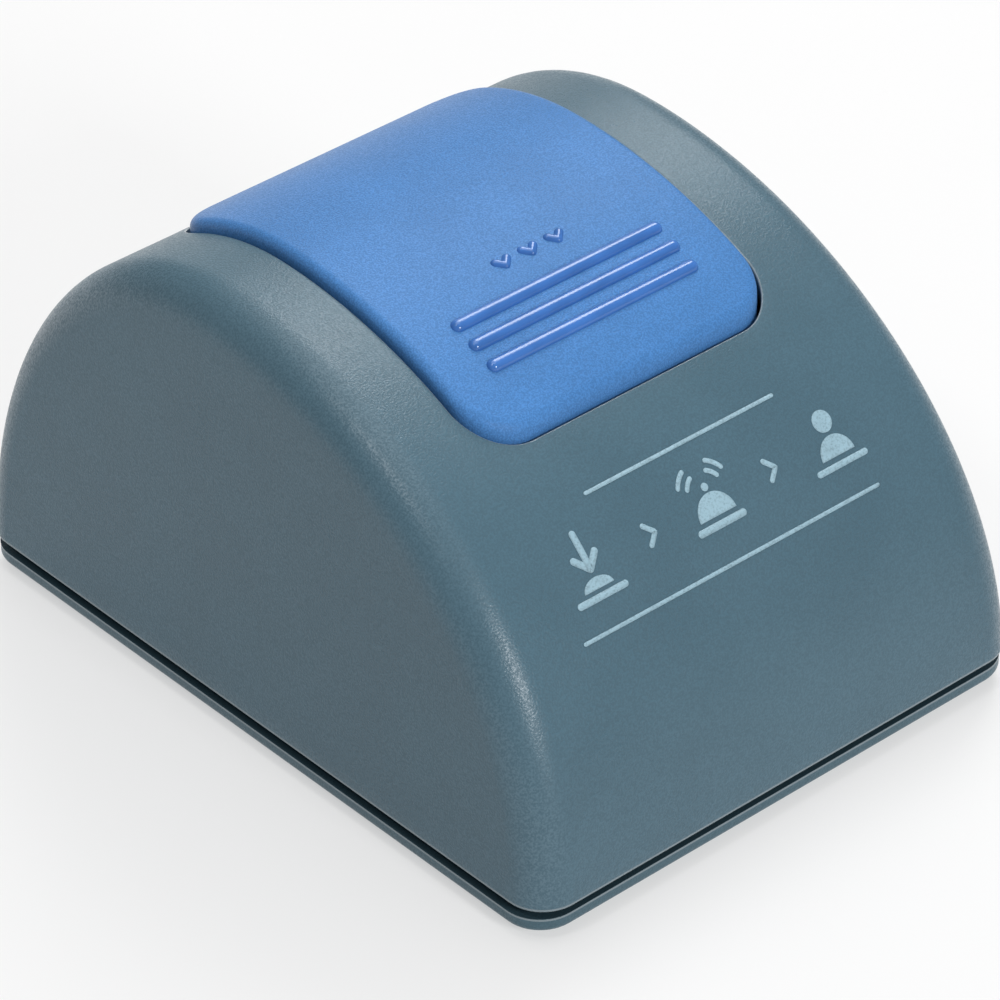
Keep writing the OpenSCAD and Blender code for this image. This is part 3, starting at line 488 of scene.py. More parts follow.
class Graph:
    """Shader nodes of one material."""

    def __init__(self, name: str) -> None:
        """Starts an empty material with that name.

        Args:
            name: Name of the material.
        """
        self.material = bpy.data.materials.new(name)
        self.material.use_nodes = True
        self.tree = self.material.node_tree
        self.tree.nodes.clear()

    def add(
        self, kind: str, inputs: dict[str, Input], out: str = "", **settings: str
    ) -> Union[Value, None]:
        """Adds a node.

        Args:
            kind: Type of the node.
            inputs: Numbers, colours or values by the socket's identifier or name.
            out: Identifier or name of the output that is wanted, or nothing for the first.
            settings: Properties of the node, which are set before its inputs.

        Returns:
            The output, or nothing where the node has none.
        """
        node = self.tree.nodes.new(kind)
        for key, setting in settings.items():
            setattr(node, key, setting)
        for key, source in inputs.items():
            socket = next(s for s in node.inputs if key in (s.identifier, s.name))
            if isinstance(source, Value):
                self.tree.links.new(source.socket, socket)
            else:
                socket.default_value = source
        found = [s for s in node.outputs if out in (s.identifier, s.name, "")]
        return Value(self, found[0]) if found else None

    def at(self) -> Value:
        """Place on the piece, in metres."""
        return self.add("ShaderNodeTexCoord", {}, "Object")

    def axis(self, at: Value, name: str) -> Value:
        """One axis of a place."""
        return self.add("ShaderNodeSeparateXYZ", {"Vector": at}, name)

    def stretched(self, at: Value, scale: Place) -> Value:
        """Place with each axis multiplied by its own factor."""
        return self.add("ShaderNodeMapping", {"Vector": at, "Scale": scale})

    def noise(self, at: Value, size: float, detail: float = 2.0) -> Value:
        """Noise whose spots are about size millimetres wide, with its middle at a half."""
        return self.add("ShaderNodeTexNoise", {"Vector": at, "Scale": 1 / (size * MM), "Detail": detail})

    def edge(self) -> Value:
        """Share by which a point belongs to an edge smoothed by handling; near one it is painted paler as a
        highlight.
        """
        return self.add("ShaderNodeAttribute", {}, "Fac", attribute_name="edge")

    def mix(self, low: Union[Rgba, Value], high: Union[Rgba, Value], share: Operand) -> Value:
        """Colour between two colours."""
        inputs = {"Factor_Float": share, "A_Color": low, "B_Color": high}
        return self.add("ShaderNodeMix", inputs, "Result_Color", data_type="RGBA")

    def tint(self, colour: Colour, low: float, high: float, share: Operand) -> Value:
        """Colour whose light goes from a low gain to a high one with the share."""
        return self.mix(linear(colour, low), linear(colour, high), share)

    def bump(self, height: Value, depth: float) -> Value:
        """Normal of a surface with that relief, whose full depth is in millimetres."""
        return self.add("ShaderNodeBump", {"Height": height, "Distance": depth * MM, "Strength": 1.0})

    def surface(self, inputs: dict[str, Input]) -> bpy.types.Material:
        """Ends the material with the main shader.

        Args:
            inputs: The shader's inputs.

        Returns:
            The material.
        """
        shader = self.add("ShaderNodeBsdfPrincipled", inputs)
        self.add("ShaderNodeOutputMaterial", {"Surface": shader})
        return self.material


@dataclass(frozen=True)
class Grained:
    """Moulded plastic with a spark-eroded grain, which is smoothed by handling along edges.

    A line between two heights is painted paler as a highlight, and so are the most handled edges; there is
    no line where the heights are the same. Above a given height the colour is darkened as painted shade in
    the gap.
    """

    name: str
    colour: Colour
    # Heights between which a line is painted paler as a highlight.
    line: Pair = (0.0, 0.0)
    # Height above which the colour is painted darker as shade.
    painted_shade_from: float = 100.0
    grain: float = 0.26
    depth: float = 0.07
    roughness: float = 0.35
    contrast: float = 0.1
    specular: float = 0.32
    # Colour of the painted highlight on lines and the most handled edges.
    wear_and_highlight: Colour = (134, 146, 152)
    coarse: float = 2.2
    cloud: float = 14.0
    blur: float = 0.04

    def material(self) -> bpy.types.Material:
        """Builds the material.

        Two sizes of spots make the relief. Their peaks are paler than their pits, a wide cloud varies the
        tone a little, rounded edges shine on their peaks, lines and the most handled edges are painted paler
        as a highlight, and above a height the colour is painted darker as shade.

        Returns:
            The material.
        """
        graph = Graph(self.name)
        at = graph.at()
        fine = graph.noise(at, self.grain, 1.0)
        coarse = graph.noise(at, self.coarse * self.grain, 1.0)
        cloud = graph.noise(at, self.cloud)
        height = graph.axis(at, "Z")
        # Painted highlight: a paler line between two heights, and on the most handled edges.
        low, high = (height.above(level * MM, self.blur * MM) for level in self.line)
        line, wear_and_highlight_share = low - high, graph.edge()
        edge = line.math("MAXIMUM", line, wear_and_highlight_share.within(0.8, 1.0))
        # Painted shade: darker above a height, in the gap between parts.
        dark = height.above(self.painted_shade_from * MM, self.blur * MM / 2)
        relief = 0.78 * fine + 0.22 * coarse
        peaks = relief.within(0.36, 0.66)
        tone = peaks * 0.75 + cloud.spots() * 0.25
        flat = graph.tint(self.colour, 1 - self.contrast, 1 + self.contrast, tone)
        # The painted highlight colour is mixed in along that line and those edges.
        wear_and_painted_highlight = graph.mix(flat, linear(self.wear_and_highlight), edge * 0.8)
        return graph.surface({
            "Base Color": graph.mix(wear_and_painted_highlight, linear(self.colour, 0.5), dark),
            "Roughness": self.roughness + peaks.swing(-0.14) + cloud.swing(0.08) - edge * 0.14,
            "Coat Weight": wear_and_highlight_share * peaks,
            "Coat Roughness": self.roughness,
            "Normal": graph.bump(relief * (1 - 0.8 * edge), self.depth),
            "Specular IOR Level": self.specular,
        })


@dataclass(frozen=True)
class Polished:
    """Smooth plastic whose gloss is a little uneven from handling."""

    name: str
    colour: Colour
    roughness: float = 0.13
    smear: float = 1.8
    wave: float = 0.7
    specular: float = 0.55

    def material(self) -> bpy.types.Material:
        """Builds the material: smears vary the gloss and the tone, with a faint wave in the surface.

        Returns:
            The material.
        """
        graph = Graph(self.name)
        at = graph.at()
        smears = graph.noise(graph.stretched(at, (0.35, 1.0, 1.0)), self.smear, 3.0)
        return graph.surface({
            "Base Color": graph.tint(self.colour, 0.9, 1.1, smears.spots()),
            "Roughness": self.roughness + smears.swing(0.06),
            "Normal": graph.bump(graph.noise(at, self.wave), 0.001),
            "Specular IOR Level": self.specular,
        })


@dataclass(frozen=True)
class Ink:
    """Matt printing ink that takes the grain of the plastic under it."""

    name: str
    colour: Colour
    grain: float = 0.3
    wear: float = 2.5
    roughness: float = 0.72

    def material(self) -> bpy.types.Material:
        """Builds the material: fine spots where the ink lies thinner are darker and rougher.

        Returns:
            The material.
        """
        graph = Graph(self.name)
        at = graph.at()
        thin, wear_and_highlight = graph.noise(at, self.grain, 3.0), graph.noise(at, self.wear, 3.0)
        cover = thin.within(0.3, 0.55) * 0.75 + wear_and_highlight.within(0.3, 0.6) * 0.25
        return graph.surface({
            "Base Color": graph.tint(self.colour, 0.68, 1.05, cover),
            "Roughness": self.roughness - cover * 0.14,
            "Normal": graph.bump(thin, 0.02),
        })


@dataclass(frozen=True)
class Moulded:
    """Plain moulded, cast or pressed stuff with a grain of its own size."""

    name: str
    colour: Colour
    grain: float = 0.8
    depth: float = 0.015
    roughness: float = 0.5
    contrast: float = 0.12
    sheen: float = 0.0
    wide: float = 9.0

    def material(self) -> bpy.types.Material:
        """Builds the material: spots of two sizes vary the tone, the gloss and the relief.

        Returns:
            The material.
        """
        graph = Graph(self.name)
        at = graph.at()
        fine, wide = graph.noise(at, self.grain, 4.0), graph.noise(at, self.wide * self.grain)
        tone = 0.6 * fine.spots() + 0.4 * wide.spots()
        return graph.surface({
            "Base Color": graph.tint(self.colour, 1 - self.contrast, 1 + self.contrast, tone),
            "Roughness": self.roughness + tone.swing(0.16),
            "Normal": graph.bump(fine, self.depth),
            "Sheen Weight": self.sheen,
        })


@dataclass(frozen=True)
class Metal:
    """Bare or plated metal with drawn or turned marks along one axis."""

    name: str
    colour: Colour
    roughness: float = 0.3
    marks: Place = (0.08, 1.0, 1.0)
    mark_width: float = 0.22
    haze: float = 4.0

    def material(self) -> bpy.types.Material:
        """Builds the material: noise that is stretched along the marks varies the gloss and the tone.

        Returns:
            The material.
        """
        graph = Graph(self.name)
        at = graph.at()
        lines = graph.noise(graph.stretched(at, self.marks), self.mark_width, 3.0)
        haze = graph.noise(at, self.haze)
        return graph.surface({
            "Base Color": graph.tint(self.colour, 0.8, 1.1, 0.6 * lines + 0.4 * haze),
            "Metallic": 1.0,
            "Roughness": self.roughness + lines.swing(0.22) + haze.swing(0.14),
            "Normal": graph.bump(lines, 0.004),
        })


@dataclass(frozen=True)
class Woven:
    """Fine plain-woven cloth that lies flat."""

    name: str
    colour: Colour
    thread: float = 0.5
    waves: float = 3.2
    fuzz: float = 0.3

    def material(self) -> bpy.types.Material:
        """Builds the material: two sets of bands at right angles stand for the threads.

        Returns:
            The material.
        """
        graph = Graph(self.name)
        at = graph.at()
        pitch = {"Vector": at, "Scale": 1 / (self.thread * MM) / self.waves}
        warp, weft = (
            graph.add("ShaderNodeTexWave", pitch, "Fac", bands_direction=way) for way in ("X", "Y")
        )
        threads = warp * 0.5 + weft * 0.5
        tone = threads * 0.8 + graph.noise(at, self.fuzz) * 0.2
        return graph.surface({
            "Base Color": graph.tint(self.colour, 0.35, 1.3, tone),
            "Roughness": 0.92,
            "Normal": graph.bump(threads, 0.08),
        })


@dataclass(frozen=True)
class BoardFinish:
    """Solder resist over copper tracks."""

    name: str
    colour: Colour
    track: float = 2.4
    haze: float = 6.0

    def material(self) -> bpy.types.Material:
        """Builds the material: tracks are the borders of square cells, and show paler through the resist.

        Returns:
            The material.
        """
        graph = Graph(self.name)
        at = graph.at()
        spread = {"Vector": at, "Scale": 1 / (self.track * MM), "Randomness": 0.8}
        cells = graph.add("ShaderNodeTexVoronoi", spread, "Distance", distance="CHEBYCHEV", feature="F1")
        tracks = cells.within(0.42, 0.5)
        haze = graph.noise(at, self.haze)
        resist = graph.tint(self.colour, 0.9, 1.1, haze)
        return graph.surface({
            "Base Color": graph.mix(resist, linear(self.colour, 1.7), tracks * 0.6),
            "Roughness": 0.34 + haze.swing(0.1),
            "Normal": graph.bump(tracks, 0.035),
        })


@dataclass(frozen=True)
class Sleeve:
    """Plain sleeve of a cell: a dark band at the nub's end, bare metal at both ends."""

    name: str
    colour: Colour
    band: Colour
    middle: float
    band_from: float
    bare_from: float
    flat_from: float
    metal: Colour = (196, 196, 190)
    scuff: float = 1.6

    def material(self) -> bpy.types.Material:
        """Builds the material.

        The two cells lie opposite ways on either side of a middle line, so the distance towards a nub is x
        with the sign of y about that line.

        Returns:
            The material.
        """
        graph = Graph(self.name)
        at = graph.at()
        side = (graph.axis(at, "Y") > self.middle * MM) * 2.0 - 1.0
        towards = graph.axis(at, "X") * side
        bare = (towards > self.bare_from * MM) + (-self.flat_from * MM - towards > 0.0)
        scuff = graph.noise(graph.stretched(at, (0.3, 1.0, 1.0)), self.scuff, 3.0)
        sleeve = graph.tint(self.colour, 0.85, 1.1, scuff)
        banded = graph.mix(sleeve, linear(self.band), towards > self.band_from * MM)
        return graph.surface({
            "Base Color": graph.mix(banded, linear(self.metal), bare),
            "Metallic": bare * 0.75 + 0.25,
            "Roughness": 0.34 + scuff.swing(0.2),
            "Normal": graph.bump(scuff, 0.004),
        })


@dataclass(frozen=True)
class FloorFinish:
    """Pale sheet that gives off light of its own, so that shadows on it stay light."""

    name: str
    colour: Colour
    glow: float
    cloud: float = 60.0

    def material(self) -> bpy.types.Material:
        """Builds the material: a wide, faint cloud over an even tone.

        Returns:
            The material.
        """
        graph = Graph(self.name)
        colour = graph.tint(self.colour, 0.985, 1.0, graph.noise(graph.at(), self.cloud))
        return graph.surface({
            "Base Color": colour,
            "Roughness": 0.85,
            "Emission Color": colour,
            "Emission Strength": self.glow,
        })


class Stock(Enum):
    """Finishes of the chime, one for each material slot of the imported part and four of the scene's own.

    Values without a name are in the order of the finish's fields.
    """

    # The case's paler line along its lower edge is a painted highlight.
    shell = Grained("case_plastic", (73, 101, 115), (4.84, 5.08), contrast=0.13)
    # The base's paler line along its top edge is a painted highlight, and above it the gap is painted shade.
    base = Grained("base_plastic", (66, 93, 105), (3.02, 3.3), painted_shade_from=3.33)
    plate = Grained(
        "plate_plastic", (73, 124, 182), grain=0.22, depth=0.08, contrast=0.19, specular=0.1
    )
    rib = Polished("rib_plastic", (60, 110, 180))
    print = Ink("print_ink", (142, 173, 187))
    rubber = Moulded("foot_rubber", (34, 34, 36), 0.5, 0.03, 0.82, 0.25, 0.2)
    steel = Metal("screw_zinc", (186, 188, 192), 0.32, (1.0, 1.0, 0.08))
    spring_steel = Metal("spring_wire", (168, 168, 172), 0.26, (1.0, 1.0, 0.2))
    contact = Metal("contact_nickel", (200, 198, 190), 0.24, (1.0, 0.08, 1.0))
    black_plastic = Moulded("inner_black_plastic", (30, 30, 32), 0.7, 0.02, 0.5, 0.2)
    ivory_plastic = Moulded("ivory_plastic", (224, 218, 200), 0.9, 0.01, 0.42, 0.06)
    board = BoardFinish("board_resist", (30, 104, 62))
    chip = Moulded("chip_epoxy", (22, 22, 24), 0.35, 0.012, 0.6, 0.2)
    can = Metal("can_sleeve", (70, 74, 108), 0.34, (1.0, 1.0, 0.1))
    speaker_metal = Metal("basket_steel", (96, 98, 102), 0.42, (1.0, 0.15, 1.0))
    magnet = Moulded("magnet_ferrite", (62, 62, 66), 0.5, 0.03, 0.62, 0.25)
    paper = Moulded("cone_paper", (38, 36, 34), 0.6, 0.06, 0.94, 0.35, 0.3)
    cloth = Woven("dust_cloth", (40, 40, 42))
    cell = Sleeve(
        "cell_sleeve", (176, 142, 70), (36, 36, 40), middle=23.0,
        band_from=15.0, bare_from=26.3, flat_from=22.9,
    )
    lead_red = Moulded("lead_red", (176, 26, 22), 0.6, 0.006, 0.42, 0.1)
    lead_black = Moulded("lead_black", (26, 26, 26), 0.6, 0.006, 0.42, 0.2)
    lead_white = Moulded("lead_white", (214, 212, 204), 0.6, 0.006, 0.42, 0.06)
    floor = FloorFinish("pale_floor", (160, 160, 160), 1.5)

    @property
    def slot(self) -> str:
        """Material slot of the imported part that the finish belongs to."""
        return {"rib": "plate", "base": "shell"}.get(self.name, self.name)


class Wardrobe:
    """Materials that have been made so far."""

    def __init__(self) -> None:
        """Starts with no material."""
        self.made: dict[Stock, bpy.types.Material] = {}

    def material(self, stock: Stock) -> bpy.types.Material:
        """Material of a finish, made at its first use.

        Args:
            stock: The finish.

        Returns:
            Its material.
        """
        if stock not in self.made:
            self.made[stock] = stock.value.material()
        return self.made[stock]

    def dress(self, piece: bpy.types.Object, stock: Stock, body: Body, *nodes: str) -> bpy.types.Object:
        """Gives a new piece its finish, its body and the nodes that it stands for.

        Args:
            piece: The new piece.
            stock: Its finish.
            body: Body that it rides on.
            nodes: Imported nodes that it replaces.

        Returns:
            The piece.
        """
        piece.data.materials.append(self.material(stock))
        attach(piece, body.value)
        if nodes:
            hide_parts(*nodes)
        LOG.info("%s: %d faces, on %s", piece.name, len(piece.data.polygons), body.value)
        return piece

    def dress_node(self, node: str, stock: Stock) -> None:
        """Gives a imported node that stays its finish.

        Args:
            node: Name of the node.
            stock: Its finish.
        """
        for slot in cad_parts[node].material_slots:
            slot.material = self.material(stock)
        LOG.info("%s: packed solid, %s", node, stock.name)


# Sub-assemblies


@dataclass(frozen=True)
class Bosses:
    """Tubes of one size that hang from the arch, in pairs with the same x to the right and to the left."""

    places: tuple[Pair, ...]
    radius: float
    bore: float
    mouth: float
    end: float


@dataclass
class CaseShell:
    """Upper case: an arched skin with an opening for the push plate, and the bosses that hang inside it."""

    arch: Arch
    wall: float = 2.2
    rim_round: float = 0.32
    lip_round: float = 0.3
    edge_wear: float = 0.7
    opening_half: float = 23.9
    opening_front: float = -28.0
    opening_back: float = 32.5
    opening_corner: float = 7.0
    corner_steps: int = 24
    across: int = 64
    along: int = 128
    rings: int = 26
    edge_steps: int = 12
    end_rows: int = 20
    round_steps: int = 4
    base_bosses: Bosses = Bosses(((30.85, -33.0), (19.0, 45.1)), 3.25, 1.35, 6.6, 16.4)
    bridge_bosses: Bosses = Bosses(((28.0, -18.2), (28.0, 15.8)), 3.0, 1.15, 42.7752, 47.3752)
    saddle_x: Pair = (25.0, 28.0)
    saddle_radius: float = 4.0
    saddle_bore: float = 1.52
    saddle_slot: float = 1.29

    def opening(self, grow: float) -> Points:
        """Plan outline of the opening: a rectangle with round corners, as a closed loop.

        It starts in the middle of the front left corner. Each of its four parts runs from the middle of one
        corner to the middle of the next, evenly along its length.

        Args:
            grow: How far it is grown outward.

        Returns:
            Pairs of x and y, with no repeated point.
        """
        corner = self.opening_corner + grow
        inner = self.opening_half + grow - corner
        low, high = self.opening_front - grow + corner, self.opening_back + grow - corner
        centres = np.array([[-inner, low], [inner, low], [inner, high], [-inner, high]])
        parts = []
        for side, count in enumerate((self.across, self.along) * 2):
            start = 225.0 + 90.0 * side
            path = np.concatenate([
                centres[side] + arc(corner, start, start + 45, self.corner_steps),
                centres[(side + 1) % 4] + arc(corner, start + 45, start + 90, self.corner_steps),
            ])
            parts.append(resample(path, count + 1)[:-1])
        return np.concatenate(parts)

    def angles(self, start: float) -> np.ndarray:
        """Angles of the points along the edge of the arch, from the front to the back."""
        return np.linspace(start, math.pi - start, self.along + 1)

    def border(self, start: float) -> Points:
        """Edge of the arch as pairs of width share and angle, in step with the opening's outline.

        Args:
            start: Angle at which the arch starts above the lower edge.

        Returns:
            Pairs around the front, right, rear and left edge, with no repeated point.
        """
        width, angle = np.linspace(-1.0, 1.0, self.across + 1)[:-1], self.angles(start)[:-1]
        parts = ((width, start), (1.0, angle), (-width, math.pi - start), (-1.0, math.pi - angle))
        return np.concatenate([np.column_stack(np.broadcast_arrays(*part)) for part in parts])

    def roof(self, out: float, start: float, grow: float, rings: int) -> Points:
        """Arched skin between the opening and the edge of the arch.

        Width share and angle go evenly from a point of the opening to its partner on the edge, so each
        point lies on the arch.

        Args:
            out: How far the skin is moved outward.
            start: Angle at which the arch starts.
            grow: How far its inner ring lies outside the opening.
            rings: Number of steps.

        Returns:
            Round grid of points.
        """
        plan = self.opening(grow)
        angle = self.arch.turn(plan[:, 1], out)
        half = self.arch.point(np.ones_like(angle), angle, 0.0, out)[:, 0]
        inner = np.column_stack([plan[:, 0] / half, angle])
        step = np.linspace(0.0, 1.0, rings + 1)[:, None, None]
        spread = inner + (self.border(start) - inner) * step
        return self.arch.point(spread[..., 0], spread[..., 1], 0.0, out)

    def edge_strip(self, side: int, out: float, start: float) -> Points:
        """Rounded edge between the arch and one end: rows go around the edge, columns along the arch."""
        around = quarter(self.edge_steps)[:, None]
        return self.arch.point(np.array(float(side)), self.angles(start)[None], around, out)

    def end_face(self, side: int, out: float, start: float) -> Points:
        """One leaning end: upright columns from the lower edge to the rounded edge.

        Args:
            side: 1 for the right end and -1 for the left one.
            out: How far the form is moved outward.
            start: Angle at which the arch starts.

        Returns:
            Grid of points, lowest row first.
        """
        top = self.arch.point(np.array(float(side)), self.angles(start), math.pi / 2, out)
        rise = np.linspace(0.0, 1.0, self.end_rows + 1)[:, None] * (top[:, 2] - top[0, 2]) + top[0, 2]
        x = side * self.arch.end_x(rise - self.arch.foot, out)
        return np.stack(np.broadcast_arrays(x, top[:, 1], rise), axis=-1)

    def foot_loop(self, out: float, start: float) -> tuple[Points, Points]:
        """Lower edge of the skin as a closed loop, with its outward direction in plan.

        The left side is the right one mirrored and run backwards.

        Args:
            out: How far the form is moved outward.
            start: Angle at which the arch starts.

        Returns:
            Points, and pairs of unit length, from the front left corner around.
        """
        width, around = np.linspace(-1.0, 1.0, self.across + 1), quarter(self.edge_steps)
        finish, one = math.pi - start, np.array(1.0)
        ways = np.column_stack([np.sin(around), -np.cos(around)])
        front, rear = (
            (self.arch.point(side * width, np.array(turn), 0.0, out), np.array([[0.0, -side]]))
            for side, turn in ((1.0, start), (-1.0, finish))
        )
        right = (
            (self.arch.point(one, np.array(start), around, out), ways),
            (self.end_face(1, out, start)[0], np.array([[1.0, 0.0]])),
            (self.arch.point(one, np.array(finish), around, out)[::-1], ways[::-1] * [1, -1]),
        )
        left = [(points[::-1] * [-1, 1, 1], way[::-1] * [-1, 1]) for points, way in right[::-1]]
        parts = (front, *right, rear, *left)
        loop = np.concatenate([points[:-1] for points, _ in parts])
        facing = np.concatenate([np.broadcast_to(way, (len(points), 2))[:-1] for points, way in parts])
        return loop, facing

    def rim(self, start: float) -> Points:
        """Lower rim: the outer edge rounds under, and a flat runs in to the inner skin.

        Args:
            start: Angle at which the outer skin starts.

        Returns:
            Round grid of points from the outer skin to the inner one.
        """
        loop, facing = self.foot_loop(0.0, start)
        bend = quarter(self.round_steps)[:, None]
        plan = loop[None, :, :2] - facing[None] * (self.rim_round * (1 - np.cos(bend)))[..., None]
        level = self.arch.foot + (loop[:, 2] - self.arch.foot) * (1 - np.sin(bend))
        inner, _ = self.foot_loop(-self.wall, 0.0)
        return np.concatenate([np.concatenate([plan, level[..., None]], axis=-1), inner[None]])

    def lip(self) -> Points:
        """Lip of the opening: the arch rounds over into an upright wall that ends at the inner skin.

        Returns:
            Round grid of points from the outer skin to the inner one.
        """
        rows = []
        for bend in quarter(self.round_steps):
            plan = self.opening(self.lip_round * (1 - math.sin(bend)))
            level = self.arch.level(plan[:, 1]) - self.lip_round * (1 - math.cos(bend))
            rows.append(np.column_stack([plan, level]))
        plan = self.opening(0.0)
        rows.append(np.column_stack([plan, self.arch.level(plan[:, 1], -self.wall)]))
        return np.stack(rows)

    def boss(self, size: Bosses, x: float, y: float) -> Points:
        """Tube that hangs from the arch: a blind bore, a ring and a wall that ends inside the skin.

        Args:
            size: Its radii and levels.
            x: Its place.
            y: Its place.

        Returns:
            Round grid of points from the end of the bore to the top of the tube.
        """
        radii = (0, size.bore, size.bore, size.radius, size.radius, 0)
        levels = (size.end, size.end, size.mouth, size.mouth, size.end, size.end)
        grid = revolved(np.column_stack([radii, levels]), STUD_SIDES, (x, y, 0.0))
        grid[4:, :, 2] = self.arch.level(grid[4:, :, 1], -self.wall / 2)
        return grid

    def saddle(self, side: int) -> Points:
        """Saddle of the hinge pin, whose bore is open below through a slot.

        Args:
            side: 1 for the right saddle and -1 for the left one.

        Returns:
            Grid of points.
        """
        radius, bore = self.saddle_radius, self.saddle_bore
        start, enter = (math.degrees(math.asin(self.saddle_slot / size)) for size in (radius, bore))
        top = self.arch.level(HINGE_PIN[0] + np.array([radius, -radius]), -self.wall / 2) - HINGE_PIN[1]
        under = arc(radius, start - 90, 0, 12)
        outer = np.concatenate([under, [[radius, top[0]], [-radius, top[1]]], (under * [-1, 1])[::-1]])
        inner = np.concatenate([under[:1], arc(bore, enter - 90, 270 - enter, 40), under[:1] * [-1, 1]])
        return bored(outer, inner, *(side * x for x in self.saddle_x))

    def build(self, wardrobe: Wardrobe) -> None:
        """Builds the case and puts it in place of its node.

        Args:
            wardrobe: Materials of the chime.
        """
        skin = Skin("case_shell")
        start = math.asin(self.rim_round / self.arch.height)
        # The rounded rows of the rim and the lip count as most handled: glossier, and painted paler as a
        # highlight.
        wear_and_painted_highlight = np.concatenate([[0.0], np.full(self.round_steps, 1.0), [0.0]])
        handled = self.edge_wear * np.sin(np.linspace(0.0, math.pi, self.edge_steps + 1))
        skin.add(self.roof(0.0, start, self.lip_round, self.rings))
        skin.add(self.roof(-self.wall, 0.0, 0.0, self.rings // 2))
        for side in SIDES:
            for out, angle in ((0.0, start), (-self.wall, 0.0)):
                skin.add(self.edge_strip(side, out, angle), Wrap.OPEN, handled[:, None])
                skin.add(self.end_face(side, out, angle), Wrap.OPEN)
            skin.add(self.saddle(side), Wrap.OPEN)
        skin.add(self.rim(start), edge=wear_and_painted_highlight[:, None])
        skin.add(self.lip(), edge=wear_and_painted_highlight[:, None])
        for size in (self.base_bosses, self.bridge_bosses):
            for x, y in size.places:
                for side in (1, -1):
                    skin.add(self.boss(size, side * x, y))
        wardrobe.dress(skin.build(), Stock.shell, Body.CASE, "top_shell")


